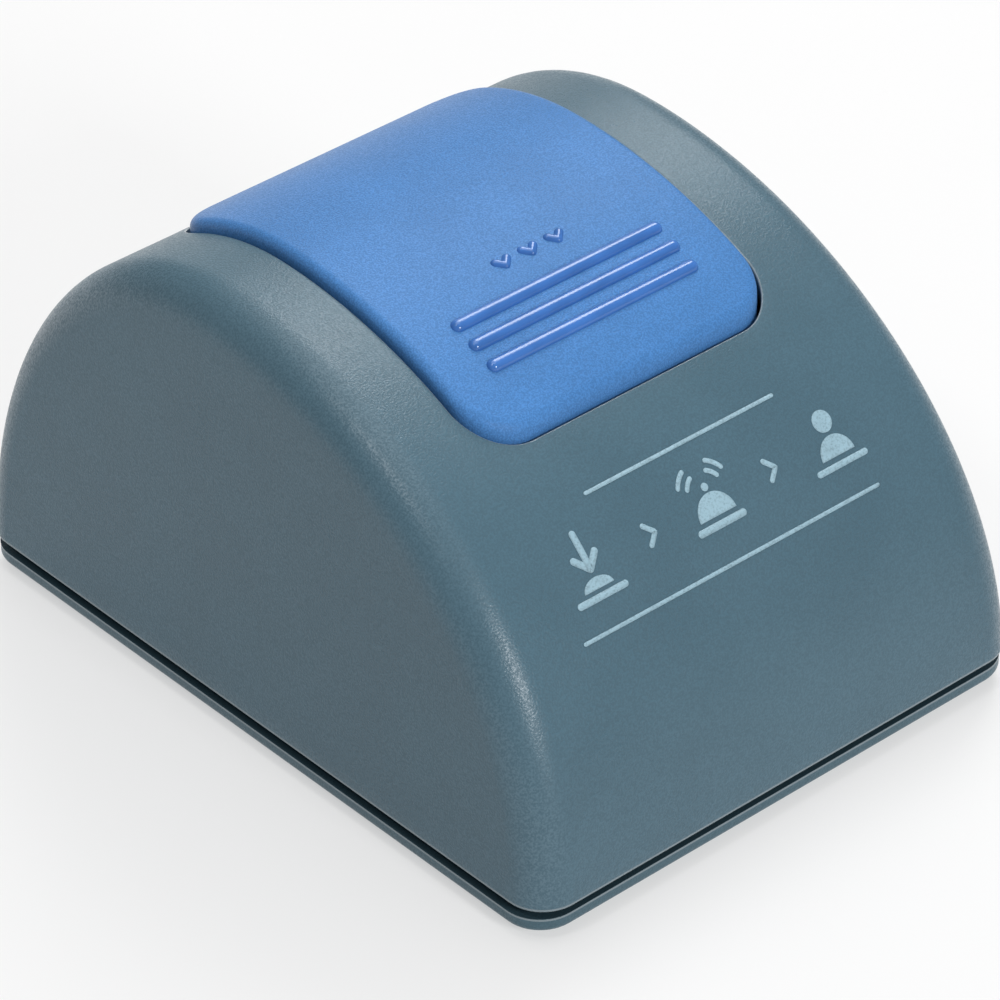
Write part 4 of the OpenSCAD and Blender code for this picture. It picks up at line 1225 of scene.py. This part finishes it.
@dataclass
class PushPlate:
    """Push plate over the crest, with its ribs, raised marks and the works under it."""

    arch: Arch
    half: float = 23.4
    front: float = -27.5
    back: float = 32.0
    corner: float = 6.5
    proud: float = 1.4
    edge_round: float = 1.2
    depth: float = 3.6
    under: float = -0.8
    wall: float = 2.0
    corner_steps: int = 14
    side_steps: int = 84
    across: int = 48
    edge_steps: int = 10
    ribs: tuple[float, ...] = (-19.9, -16.7, -13.5)
    rib_length: float = 33.4
    rib_radius: float = 0.95
    rib_proud: float = 0.75
    marks: tuple[float, ...] = (-4.2, 0.0, 4.2)
    mark_y: float = -8.5
    mark_arm: float = 0.9
    mark_radius: float = 0.6
    mark_proud: float = 0.45
    knuckle_x: Pair = (18.0, 22.0)
    knuckle_radius: float = 3.2
    knuckle_bore: float = 1.55
    post_y: float = -5.0
    post_level: float = 46.0752
    post_radius: float = 3.0
    seat_x: float = 13.0
    seat_y: float = -16.0
    seat_level: float = 52.2752
    seat_radius: float = 4.25
    pilot_radius: float = 2.25
    pilot_length: float = 4.0
    stud_ease: float = 0.2
    hook_x: float = 13.0
    hook_half: float = 3.0
    hook_front: float = -29.6
    hook_level: float = 42.6
    hook_thick: float = 1.2
    hook_clear: Place = (0.01, 0.05, 0.1)

    @property
    def inside(self) -> float:
        """How far a surface half way through the plate lies outside the arch."""
        return (self.under + self.proud) / 2

    def side(self, inset: float) -> Points:
        """Right side of the plan outline: front corner, straight side and rear corner.

        Args:
            inset: How far it is set in.

        Returns:
            Pairs of x and y.
        """
        half, radius = self.half - inset, self.corner - inset
        first, last = self.front + self.corner, self.back - self.corner
        front = arc(radius, -90, 0, self.corner_steps) + [half - radius, first]
        rear = arc(radius, 0, 90, self.corner_steps) + [half - radius, last]
        straight = np.linspace(first, last, self.side_steps + 1)[1:-1]
        return np.concatenate([front, np.column_stack([np.full_like(straight, half), straight]), rear])

    def loop(self, inset: float, out: float, down: float = 0.0) -> Points:
        """Plan outline, set in and laid on the arch, as a closed loop with no repeated point.

        Args:
            inset: How far it is set in.
            out: How far the arch is moved outward.
            down: How far the loop lies below that arch.

        Returns:
            Points along the right side, the back, the left side and the front.
        """
        side = self.side(inset)
        share = np.linspace(1.0, -1.0, self.across + 1)[1:-1]
        rear = np.column_stack([share * side[-1, 0], np.full_like(share, side[-1, 1])])
        front = np.column_stack([-share * side[0, 0], np.full_like(share, side[0, 1])])
        plan = np.concatenate([side, rear, (side * [-1, 1])[::-1], front])
        return np.column_stack([plan, self.arch.level(plan[:, 1], out) - down])

    def deck(self, inset: float, out: float) -> Points:
        """Arched face inside a loop: straight rows across the plate from side to side.

        Args:
            inset: How far the loop is set in.
            out: How far the arch is moved outward.

        Returns:
            Grid of points.
        """
        side = self.side(inset)
        x = side[:, :1] * np.linspace(-1.0, 1.0, self.across + 1)
        y = np.broadcast_to(side[:, 1:], x.shape)
        return np.stack([x, y, self.arch.level(y, out)], axis=-1)

    def stud(self, x: float, y: float, low: float, radius: float) -> Points:
        """Round stud that hangs from the plate's top and ends inside it.

        Args:
            x: Its place.
            y: Its place.
            low: Level of its lower end.
            radius: Its radius.

        Returns:
            Round grid of points from the middle of its lower end to the middle of its top.
        """
        radii = (0, radius - self.stud_ease, radius, radius, 0)
        levels = (low, low, low + self.stud_ease, low, low)
        grid = revolved(np.column_stack([radii, levels]), STUD_SIDES, (x, y, 0.0))
        grid[3:, :, 2] = self.arch.level(grid[3:, :, 1], self.inside)
        return grid

    def knuckle(self, side: int) -> Points:
        """Knuckle around the hinge pin, whose outer line is round below and straight above.

        Args:
            side: 1 for the right knuckle and -1 for the left one.

        Returns:
            Grid of points.
        """
        radius = self.knuckle_radius
        reach = np.array([radius / 3, -radius])
        neck = np.column_stack([reach, self.arch.level(HINGE_PIN[0] + reach, self.inside) - HINGE_PIN[1]])
        outer = np.concatenate([arc(radius, -90, 55, 20), neck, arc(radius, 180, 270, 12)])
        return bored(outer, arc(self.knuckle_bore, -90, 270, 48), *(side * x for x in self.knuckle_x))

    def hook(self, x: float) -> tuple[Points, Points]:
        """Hook: a foot that reaches under the case and an upright that joins it to the skirt.

        The upright lies a little inside the foot's faces, so that no two faces share a plane.

        Args:
            x: Its place.

        Returns:
            Round grids of the foot and of the upright.
        """
        half, inside = self.hook_half, self.front + self.wall
        low, high = self.hook_level, self.hook_level + self.hook_thick
        across, ahead, above = self.hook_clear
        foot = block((x - half, self.hook_front, low), (x + half, inside, high))
        first = (x - half + across, self.front + ahead, low + above)
        return foot, block(first, (x + half - across, inside - across, high + self.depth / 2))

    def body(self) -> bpy.types.Object:
        """Plate itself: skirt, rounded edge, top, hollow and the works under it.

        Returns:
            The piece.
        """
        skin = Skin("push_plate")
        edge = [
            self.loop(self.edge_round * (1 - math.cos(a)), self.proud, self.edge_round * (1 - math.sin(a)))
            for a in quarter(self.edge_steps)
        ]
        outer, inner = self.loop(0.0, -self.depth), self.loop(self.wall, -self.depth)
        skin.add(np.stack([self.loop(self.wall, self.under), inner, outer, *edge]))
        skin.add(self.deck(self.edge_round, self.proud), Wrap.OPEN)
        skin.add(self.deck(self.wall, self.under), Wrap.OPEN)
        for side in SIDES:
            skin.add(self.knuckle(side), Wrap.OPEN)
        skin.add(self.stud(0.0, self.post_y, self.post_level, self.post_radius))
        for side in SIDES:
            x, pilot = side * self.seat_x, self.seat_level - self.pilot_length
            skin.add(self.stud(x, self.seat_y, self.seat_level, self.seat_radius))
            skin.add(self.stud(x, self.seat_y, pilot, self.pilot_radius))
        for side in SIDES:
            for patch in self.hook(side * self.hook_x):
                skin.add(patch)
        return skin.build()

    def finger_ribs(self) -> bpy.types.Object:
        """Ribs as bars across the plate.

        Returns:
            The piece.
        """
        skin = Skin("finger_ribs")
        for y in self.ribs:
            level = float(self.arch.level(np.array(y), self.proud + self.rib_proud - self.rib_radius))
            skin.add(capsule(self.rib_length, self.rib_radius, 40, 12) + [0.0, y, level])
        return skin.build()

    def chevrons(self) -> bpy.types.Object:
        """Raised marks behind the ribs: pairs of bars at right angles, laid in the slope of the plate.

        Returns:
            The piece.
        """
        skin = Skin("raised_marks")
        out = self.proud + self.mark_proud - self.mark_radius
        level, slope = float(self.arch.level(np.array(self.mark_y), out)), self.arch.slope(self.mark_y, out)
        bar = capsule(self.mark_arm * math.sqrt(2) + 2 * self.mark_radius, self.mark_radius)
        for x in self.marks:
            for side in SIDES:
                arm = turned(bar, side * math.pi / 4, "Z") + [side * self.mark_arm / 2, 0, 0]
                skin.add(turned(arm, slope, "X") + [x, self.mark_y, level])
        return skin.build()

    def build(self, wardrobe: Wardrobe) -> None:
        """Builds the plate, its ribs and its marks on the plate's body.

        Args:
            wardrobe: Materials of the chime.
        """
        wardrobe.dress(self.body(), Stock.plate, Body.PLATE, "push_button")
        wardrobe.dress(self.finger_ribs(), Stock.rib, Body.PLATE)
        wardrobe.dress(self.chevrons(), Stock.rib, Body.PLATE)


@dataclass(frozen=True)
class Bay:
    """Battery bay: two cells along X lie opposite ways, one on each side of its middle line."""

    y: float = 23.0
    level: float = 10.85
    apart: float = 7.45

    def place(self, side: int, x: float = 0.0) -> Points:
        """Point on the middle line of the cell on one side."""
        return np.array([x, self.y + side * self.apart, self.level])


@dataclass
class Springs:
    """Return springs under the plate and the coils that press on the cells."""

    bay: Bay
    returning: Winding = Winding(3.05, 3.05, 8.6, 5, 0.4)
    return_x: float = 13.0
    return_y: float = -16.0
    return_low: float = 43.2252
    seat_level: float = 42.7752
    pressed: float = 0.82
    contact: Winding = Winding(4.2, 2.6, 3.85, 3, 0.35)
    contact_x: float = 27.225

    def build(self, wardrobe: Wardrobe) -> None:
        """Winds all four springs.

        Args:
            wardrobe: Materials of the chime.
        """
        skin = Skin("return_coils")
        for side in SIDES:
            skin.add(self.returning.grid() + [side * self.return_x, self.return_y, self.return_low])
        piece = wardrobe.dress(skin.build(), Stock.spring_steel, Body.CASE, "return_springs")
        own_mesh(piece)
        skin = Skin("contact_coils")
        inward = self.contact.grid()[..., [2, 1, 0]] * [-1, 1, 1]
        for side in SIDES:
            skin.add(inward * [side, 1, 1] + self.bay.place(-side, side * self.contact_x))
        wardrobe.dress(skin.build(), Stock.spring_steel, Body.CASE, "contact_springs")


@dataclass
class Underside:
    """Base plate, battery cover, feet, cells and the cloth behind the sound slots."""

    bay: Bay
    foot_places: tuple[Pair, ...] = ((31.5, 45.5), (-31.5, 45.5), (31.5, -45.5), (-31.5, -45.5))
    foot_radius: float = 4.5
    foot_height: float = 2.0
    foot_round: float = 0.5
    foot_dish: float = 0.15
    dish_edge: Pair = (1.0, 0.5)
    cell_radius: float = 7.25
    cell_length: float = 50.5
    cell_crimp: float = 0.7
    cell_end: float = 27.55
    nub_radius: float = 2.7
    nub_length: float = 1.2
    nub_round: float = 0.4
    bevel: float = 0.22
    bevel_deg: float = 50.0
    flat_deg: float = 0.6
    merge: float = 0.002

    def merged(self, node: str, name: str) -> bpy.types.Object:
        """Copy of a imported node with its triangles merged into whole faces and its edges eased.

        Args:
            node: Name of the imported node.
            name: Name of the new piece.

        Returns:
            The piece.
        """
        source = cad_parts[node].data
        points = np.zeros(3 * len(source.vertices), np.float32)
        source.vertices.foreach_get("co", points)
        corners = np.zeros(len(source.loops), np.int32)
        source.loops.foreach_get("vertex_index", corners)
        mesh = bpy.data.meshes.new(name)
        mesh.from_pydata(points.reshape(-1, 3).tolist(), [], corners.reshape(-1, 3).tolist())
        work = bmesh.new()
        work.from_mesh(mesh)
        bmesh.ops.remove_doubles(work, verts=list(work.verts), dist=self.merge * MM)
        bmesh.ops.dissolve_limit(
            work, angle_limit=math.radians(self.flat_deg), verts=list(work.verts), edges=list(work.edges),
            delimit={"NORMAL"},
        )
        work.to_mesh(mesh)
        work.free()
        piece = smooth_object(name, mesh)
        ease = piece.modifiers.new("eased_edges", "BEVEL")
        ease.width, ease.segments = self.bevel * MM, 2
        ease.limit_method, ease.angle_limit = "ANGLE", math.radians(self.bevel_deg)
        ease.harden_normals = ease.use_clamp_overlap = True
        return piece

    def feet(self) -> bpy.types.Object:
        """Four round pads: a dished sole, a rounded lower edge and a flat top in the recess.

        Returns:
            The piece.
        """
        skin = Skin("foot_pads")
        radius, flat = self.foot_radius, self.foot_radius - self.foot_round
        turn = arc(self.foot_round, -90, 0, 6) + [flat, self.foot_round]
        inner, outer = (flat - inset for inset in self.dish_edge)
        sole = [[0.0, self.foot_dish], [inner, self.foot_dish], [outer, 0.0]]
        profile = np.concatenate([sole, turn, [[radius, self.foot_height], [0.0, self.foot_height]]])
        for x, y in self.foot_places:
            skin.add(revolved(profile, 48, (x, y, 0.0)))
        return skin.build()

    def cells(self) -> bpy.types.Object:
        """Two cells that lie opposite ways: a can with crimped ends and a nub, turned about X.

        Returns:
            The piece.
        """
        skin = Skin("cells")
        radius, crimp, body = self.cell_radius, self.cell_crimp, self.cell_length - self.nub_length
        flat = arc(crimp, -90, 0, 5) + [radius - crimp, crimp]
        shoulder = arc(crimp, 0, 90, 5) + [radius - crimp, body - crimp]
        tip = [self.nub_radius - self.nub_round, self.cell_length - self.nub_round]
        nub = arc(self.nub_round, 0, 90, 4) + tip
        ends = [[[0.0, 0.0]], flat, shoulder, [[self.nub_radius, body]], nub, [[0.0, self.cell_length]]]
        lying = revolved(np.concatenate(ends), 56)[..., [2, 1, 0]] + [self.cell_end - self.cell_length, 0, 0]
        for side in SIDES:
            skin.add(lying * [side, 1, 1] + self.bay.place(side))
        return skin.build()

    def dust_cloth(self, wardrobe: Wardrobe) -> None:
        """Stretches a round cloth over the sound slots: a disc with a half round edge, where its node lies.

        Args:
            wardrobe: Materials of the chime.
        """
        low, high = (np.array(corner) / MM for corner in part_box("dust_screen"))
        wide, _, thick = high - low
        edge = arc(thick / 2, -90, 90, 8) + [(wide - thick) / 2, 0.0]
        profile = np.concatenate([[[0.0, -thick / 2]], edge, [[0.0, thick / 2]]])
        skin = Skin("dust_cloth")
        skin.add(revolved(profile, 96, tuple((low + high) / 2)))
        cloth = wardrobe.dress(skin.build(), Stock.cloth, Body.CASE, "dust_screen")

    def build(self, wardrobe: Wardrobe) -> None:
        """Builds the pieces that show from below.

        Args:
            wardrobe: Materials of the chime.
        """
        wardrobe.dress(self.merged("base_plate", "base"), Stock.base, Body.CASE, "base_plate")
        wardrobe.dress(self.merged("battery_cover", "cover"), Stock.shell, Body.COVER, "battery_cover")
        wardrobe.dress(self.feet(), Stock.rubber, Body.CASE, "rubber_feet")
        wardrobe.dress(self.cells(), Stock.cell, Body.CASE, "battery_cells")
        self.dust_cloth(wardrobe)


@dataclass
class FrontPrint:
    """Printed signs on the front of the case: press, chime and attendant, between two rules."""

    arch: Arch
    rise: float = 0.02
    thick: float = 0.03
    top_rule: Place = (-15.0, 15.0, 47.6)
    low_rule: Place = (-24.5, 23.0, 63.2)
    middle: float = 55.4
    spread: float = 19.5
    scale: float = 1.25
    stroke: float = 0.5
    steps: int = 61
    across: int = 13

    def stroke_patch(self, path: Union[Points, list[Pair]], width: float) -> Points:
        """Stroke with round ends: a line widened on both sides, which narrows as a half circle at its ends.

        Args:
            path: Corners of the line, in the drawing.
            width: Its width.

        Returns:
            Grid of flat points, one row for each point of the line.
        """
        line = resample(np.array(path, float), self.steps)
        length, half = lengths(line)[-1], width / 2
        share = (1 - np.cos(np.linspace(0, math.pi, self.steps))) / 2 * (length + width) - half
        even = np.linspace(0.0, length, self.steps)
        middle, heading = (picked(share, even, part) for part in (line, unit(np.gradient(line, axis=0))))
        over = np.clip(share, None, 0.0) + np.clip(share - length, 0.0, None)
        middle += heading * over[:, None]
        reach = np.sqrt(np.clip(half**2 - over**2, 0.0, None))
        sideways = np.column_stack([-heading[:, 1], heading[:, 0]]) * reach[:, None]
        return np.stack([middle + sideways * side for side in (-1.0, 0.0, 1.0)], axis=1)

    def filled(self, place: Pair, half: float, rise: float, bend: np.ndarray) -> Points:
        """Filled part of an ellipse: rows across it whose width and height follow the angles in bend.

        Args:
            place: Middle of the ellipse.
            half: Half of its width.
            rise: Half of its height.
            bend: Angle of each row.

        Returns:
            Grid of flat points.
        """
        x = place[0] + half * np.cos(bend)[:, None] * np.linspace(-1.0, 1.0, self.across)
        y = np.broadcast_to((place[1] + rise * np.sin(bend))[:, None], x.shape)
        return np.stack([x, y], axis=-1)

    def dome(self, half: float, low: float, high: float) -> Points:
        """Filled half ellipse on a flat base, from a low height to a high one."""
        return self.filled((0.0, low), half, high - low, quarter(16))

    def disc(self, radius: float, height: float) -> Points:
        """Filled circle about a height."""
        return self.filled((0.0, height), radius, radius, np.linspace(-math.pi / 2, math.pi / 2, 25))

    def press_sign(self) -> list[Points]:
        """Arrow that points down at a button."""
        paths = ([(0.0, 3.4), (0.0, -0.2)], [(-1.3, 1.1), (0.0, -0.25)], [(1.3, 1.1), (0.0, -0.25)])
        return [
            *(self.stroke_patch(path, 0.75) for path in paths),
            self.dome(1.8, -2.2, -1.05),
            self.stroke_patch([(-2.8, -2.95), (2.8, -2.95)], 0.7),
        ]

    def chime_sign(self) -> list[Points]:
        """Counter bell with sound waves."""
        waves = [arc(radius, a, a + 32, 24) + [0.0, 0.9] for radius in (2.2, 3.2) for a in (30, 118)]
        return [
            self.dome(2.3, -1.5, 0.9),
            self.stroke_patch([(-2.7, -2.35), (2.7, -2.35)], 0.75),
            self.disc(0.42, 1.5),
            *(self.stroke_patch(wave, self.stroke) for wave in waves),
        ]

    def attendant_sign(self) -> list[Points]:
        """Head and shoulders behind a counter."""
        counter = self.stroke_patch([(-3.0, -2.75), (3.0, -2.75)], 0.65)
        return [self.disc(1.15, 1.75), self.dome(2.1, -1.9, 0.25), counter]

    def arrow_sign(self) -> list[Points]:
        """Plain arrow head that points to the next sign."""
        return [self.stroke_patch([(-0.5, 1.0), (0.5, 0.0), (-0.5, -1.0)], 0.55)]

    def build(self, wardrobe: Wardrobe) -> None:
        """Lays the signs and rules on the case as thin films.

        Args:
            wardrobe: Materials of the chime.
        """
        skin = Skin("front_print")
        arrow = self.arrow_sign()
        signs = (self.press_sign(), arrow, self.chime_sign(), arrow, self.attendant_sign())
        for share, sign in zip(np.linspace(-1.0, 1.0, len(signs)), signs):
            for patch in sign:
                flat = patch * self.scale * [1, -1] + [share * self.spread, self.middle]
                skin.add(self.arch.wrapped(flat, self.rise), Wrap.OPEN)
        for left, right, level in (self.top_rule, self.low_rule):
            flat = self.stroke_patch([(left, 0.0), (right, 0.0)], self.stroke) + [0.0, level]
            skin.add(self.arch.wrapped(flat, self.rise), Wrap.OPEN)
        piece = skin.build()
        film = piece.modifiers.new("film", "SOLIDIFY")
        film.thickness, film.offset = self.thick * MM, 1.0
        wardrobe.dress(piece, Stock.print, Body.CASE)


NODE_STOCK: dict[Stock, tuple[str, ...]] = {
    Stock.steel: (
        "base_screws", "hinge_pin", "bridge_screws", "board_screws", "speaker_screws", "holder_screws",
    ),
    Stock.contact: ("link_contact", "end_contacts"),
    Stock.black_plastic: ("inner_bridge", "battery_holder", "speaker_ring", "switch_body"),
    Stock.ivory_plastic: ("switch_plunger", "battery_socket", "speaker_socket"),
    Stock.board: ("circuit_board",),
    Stock.chip: ("sound_chip",),
    Stock.can: ("capacitors",),
    Stock.speaker_metal: ("speaker_frame",),
    Stock.magnet: ("speaker_magnet",),
    Stock.paper: ("speaker_cone",),
    Stock.lead_red: ("positive_lead",),
    Stock.lead_black: ("negative_lead",),
    Stock.lead_white: ("speaker_leads",),
}


# Studio


@dataclass(frozen=True)
class Lamp:
    """Square soft light that faces a height on the middle line of the chime, in metres and watts."""

    name: str
    place: Place
    aim: float
    size: float
    power: float

    def build(self) -> None:
        """Hangs the light."""
        light = bpy.data.lights.new(self.name, "AREA")
        light.energy, light.size = self.power, self.size
        lamp = new_object(self.name, light)
        lamp.location = self.place
        way = Vector((0.0, 0.0, self.aim)) - Vector(self.place)
        lamp.rotation_euler = way.to_track_quat("-Z", "Y").to_euler()


@dataclass
class Studio:
    """Floor, lights and the camera of the photograph's view, in metres and degrees."""

    eye: Place = (-0.35698, -0.41912, 0.40892)
    azimuth: float = -40.5647
    elevation: float = 35.3926
    roll: float = -1.2314
    lens: float = 194.047
    sensor: float = 36.0
    sight: Pair = (0.01, 50.0)
    floor_half: float = 6.0
    sky: float = 0.25
    lamps: tuple[Lamp, ...] = (
        Lamp("key_light", (0.64, 0.46, 0.90), 0.04, 0.5, 6.0),
        Lamp("top_light", (0.10, 0.10, 1.15), 0.03, 1.0, 6.0),
        Lamp("back_light", (0.60, 0.85, 0.28), 0.05, 0.5, 0.6),
        Lamp("front_light", (-0.06, -0.92, 0.47), 0.03, 0.22, 5.0),
        Lamp("left_light", (-0.60, -0.07, 0.96), 0.05, 0.14, 1.6),
    )

    def camera(self) -> None:
        """Sets the camera at the photograph's place: back, right and up follow from its angles."""
        around, above, roll = (math.radians(a) for a in (self.azimuth, self.elevation, self.roll))
        level = Vector((math.cos(around), math.sin(around), 0.0))
        away = Vector((math.sin(around), -math.cos(around), 0.0))
        back = away * math.cos(above) + Vector((0.0, 0.0, math.sin(above)))
        upright = back.cross(level)
        right = level * math.cos(roll) + upright * math.sin(roll)
        up = upright * math.cos(roll) - level * math.sin(roll)
        lens = bpy.data.cameras.new("photo_camera")
        lens.lens, lens.sensor_width, lens.sensor_fit = self.lens, self.sensor, "HORIZONTAL"
        lens.clip_start, lens.clip_end = self.sight
        camera = new_object("photo_camera", lens)
        turn = Matrix((right, up, back)).transposed().to_4x4()
        camera.matrix_world = Matrix.Translation(self.eye) @ turn
        bpy.context.scene.camera = camera

    def floor(self, wardrobe: Wardrobe) -> None:
        """Lays a flat pale floor under the feet.

        Args:
            wardrobe: Materials of the scene.
        """
        mesh = bpy.data.meshes.new("floor")
        half = self.floor_half
        corners = [(-half, -half, 0), (half, -half, 0), (half, half, 0), (-half, half, 0)]
        mesh.from_pydata(corners, [], [(0, 1, 2, 3)])
        mesh.materials.append(wardrobe.material(Stock.floor))
        new_object("floor", mesh)

    def build(self, wardrobe: Wardrobe) -> None:
        """Sets up the floor, the sky, the lights and the camera.

        Args:
            wardrobe: Materials of the scene.
        """
        scene = bpy.context.scene
        scene.view_settings.view_transform = "Standard"
        scene.view_settings.look = "None"
        world = bpy.data.worlds.new("pale_room")
        world.use_nodes = True
        sky = world.node_tree.nodes["Background"].inputs
        sky["Color"].default_value = (1.0, 1.0, 1.0, 1.0)
        sky["Strength"].default_value = self.sky
        scene.world = world
        self.floor(wardrobe)
        for lamp in self.lamps:
            lamp.build()
        self.camera()


def main() -> None:
    """Builds the chime piece by piece, then the studio around it."""
    logging.basicConfig(level=logging.INFO, format="%(name)s %(message)s")
    arch, bay, wardrobe = Arch(), Bay(), Wardrobe()
    CaseShell(arch).build(wardrobe)
    PushPlate(arch).build(wardrobe)
    Springs(bay).build(wardrobe)
    Underside(bay).build(wardrobe)
    FrontPrint(arch).build(wardrobe)
    for stock, nodes in NODE_STOCK.items():
        for node in nodes:
            wardrobe.dress_node(node, stock)
    Studio().build(wardrobe)


if __name__ == "__main__":
    main()
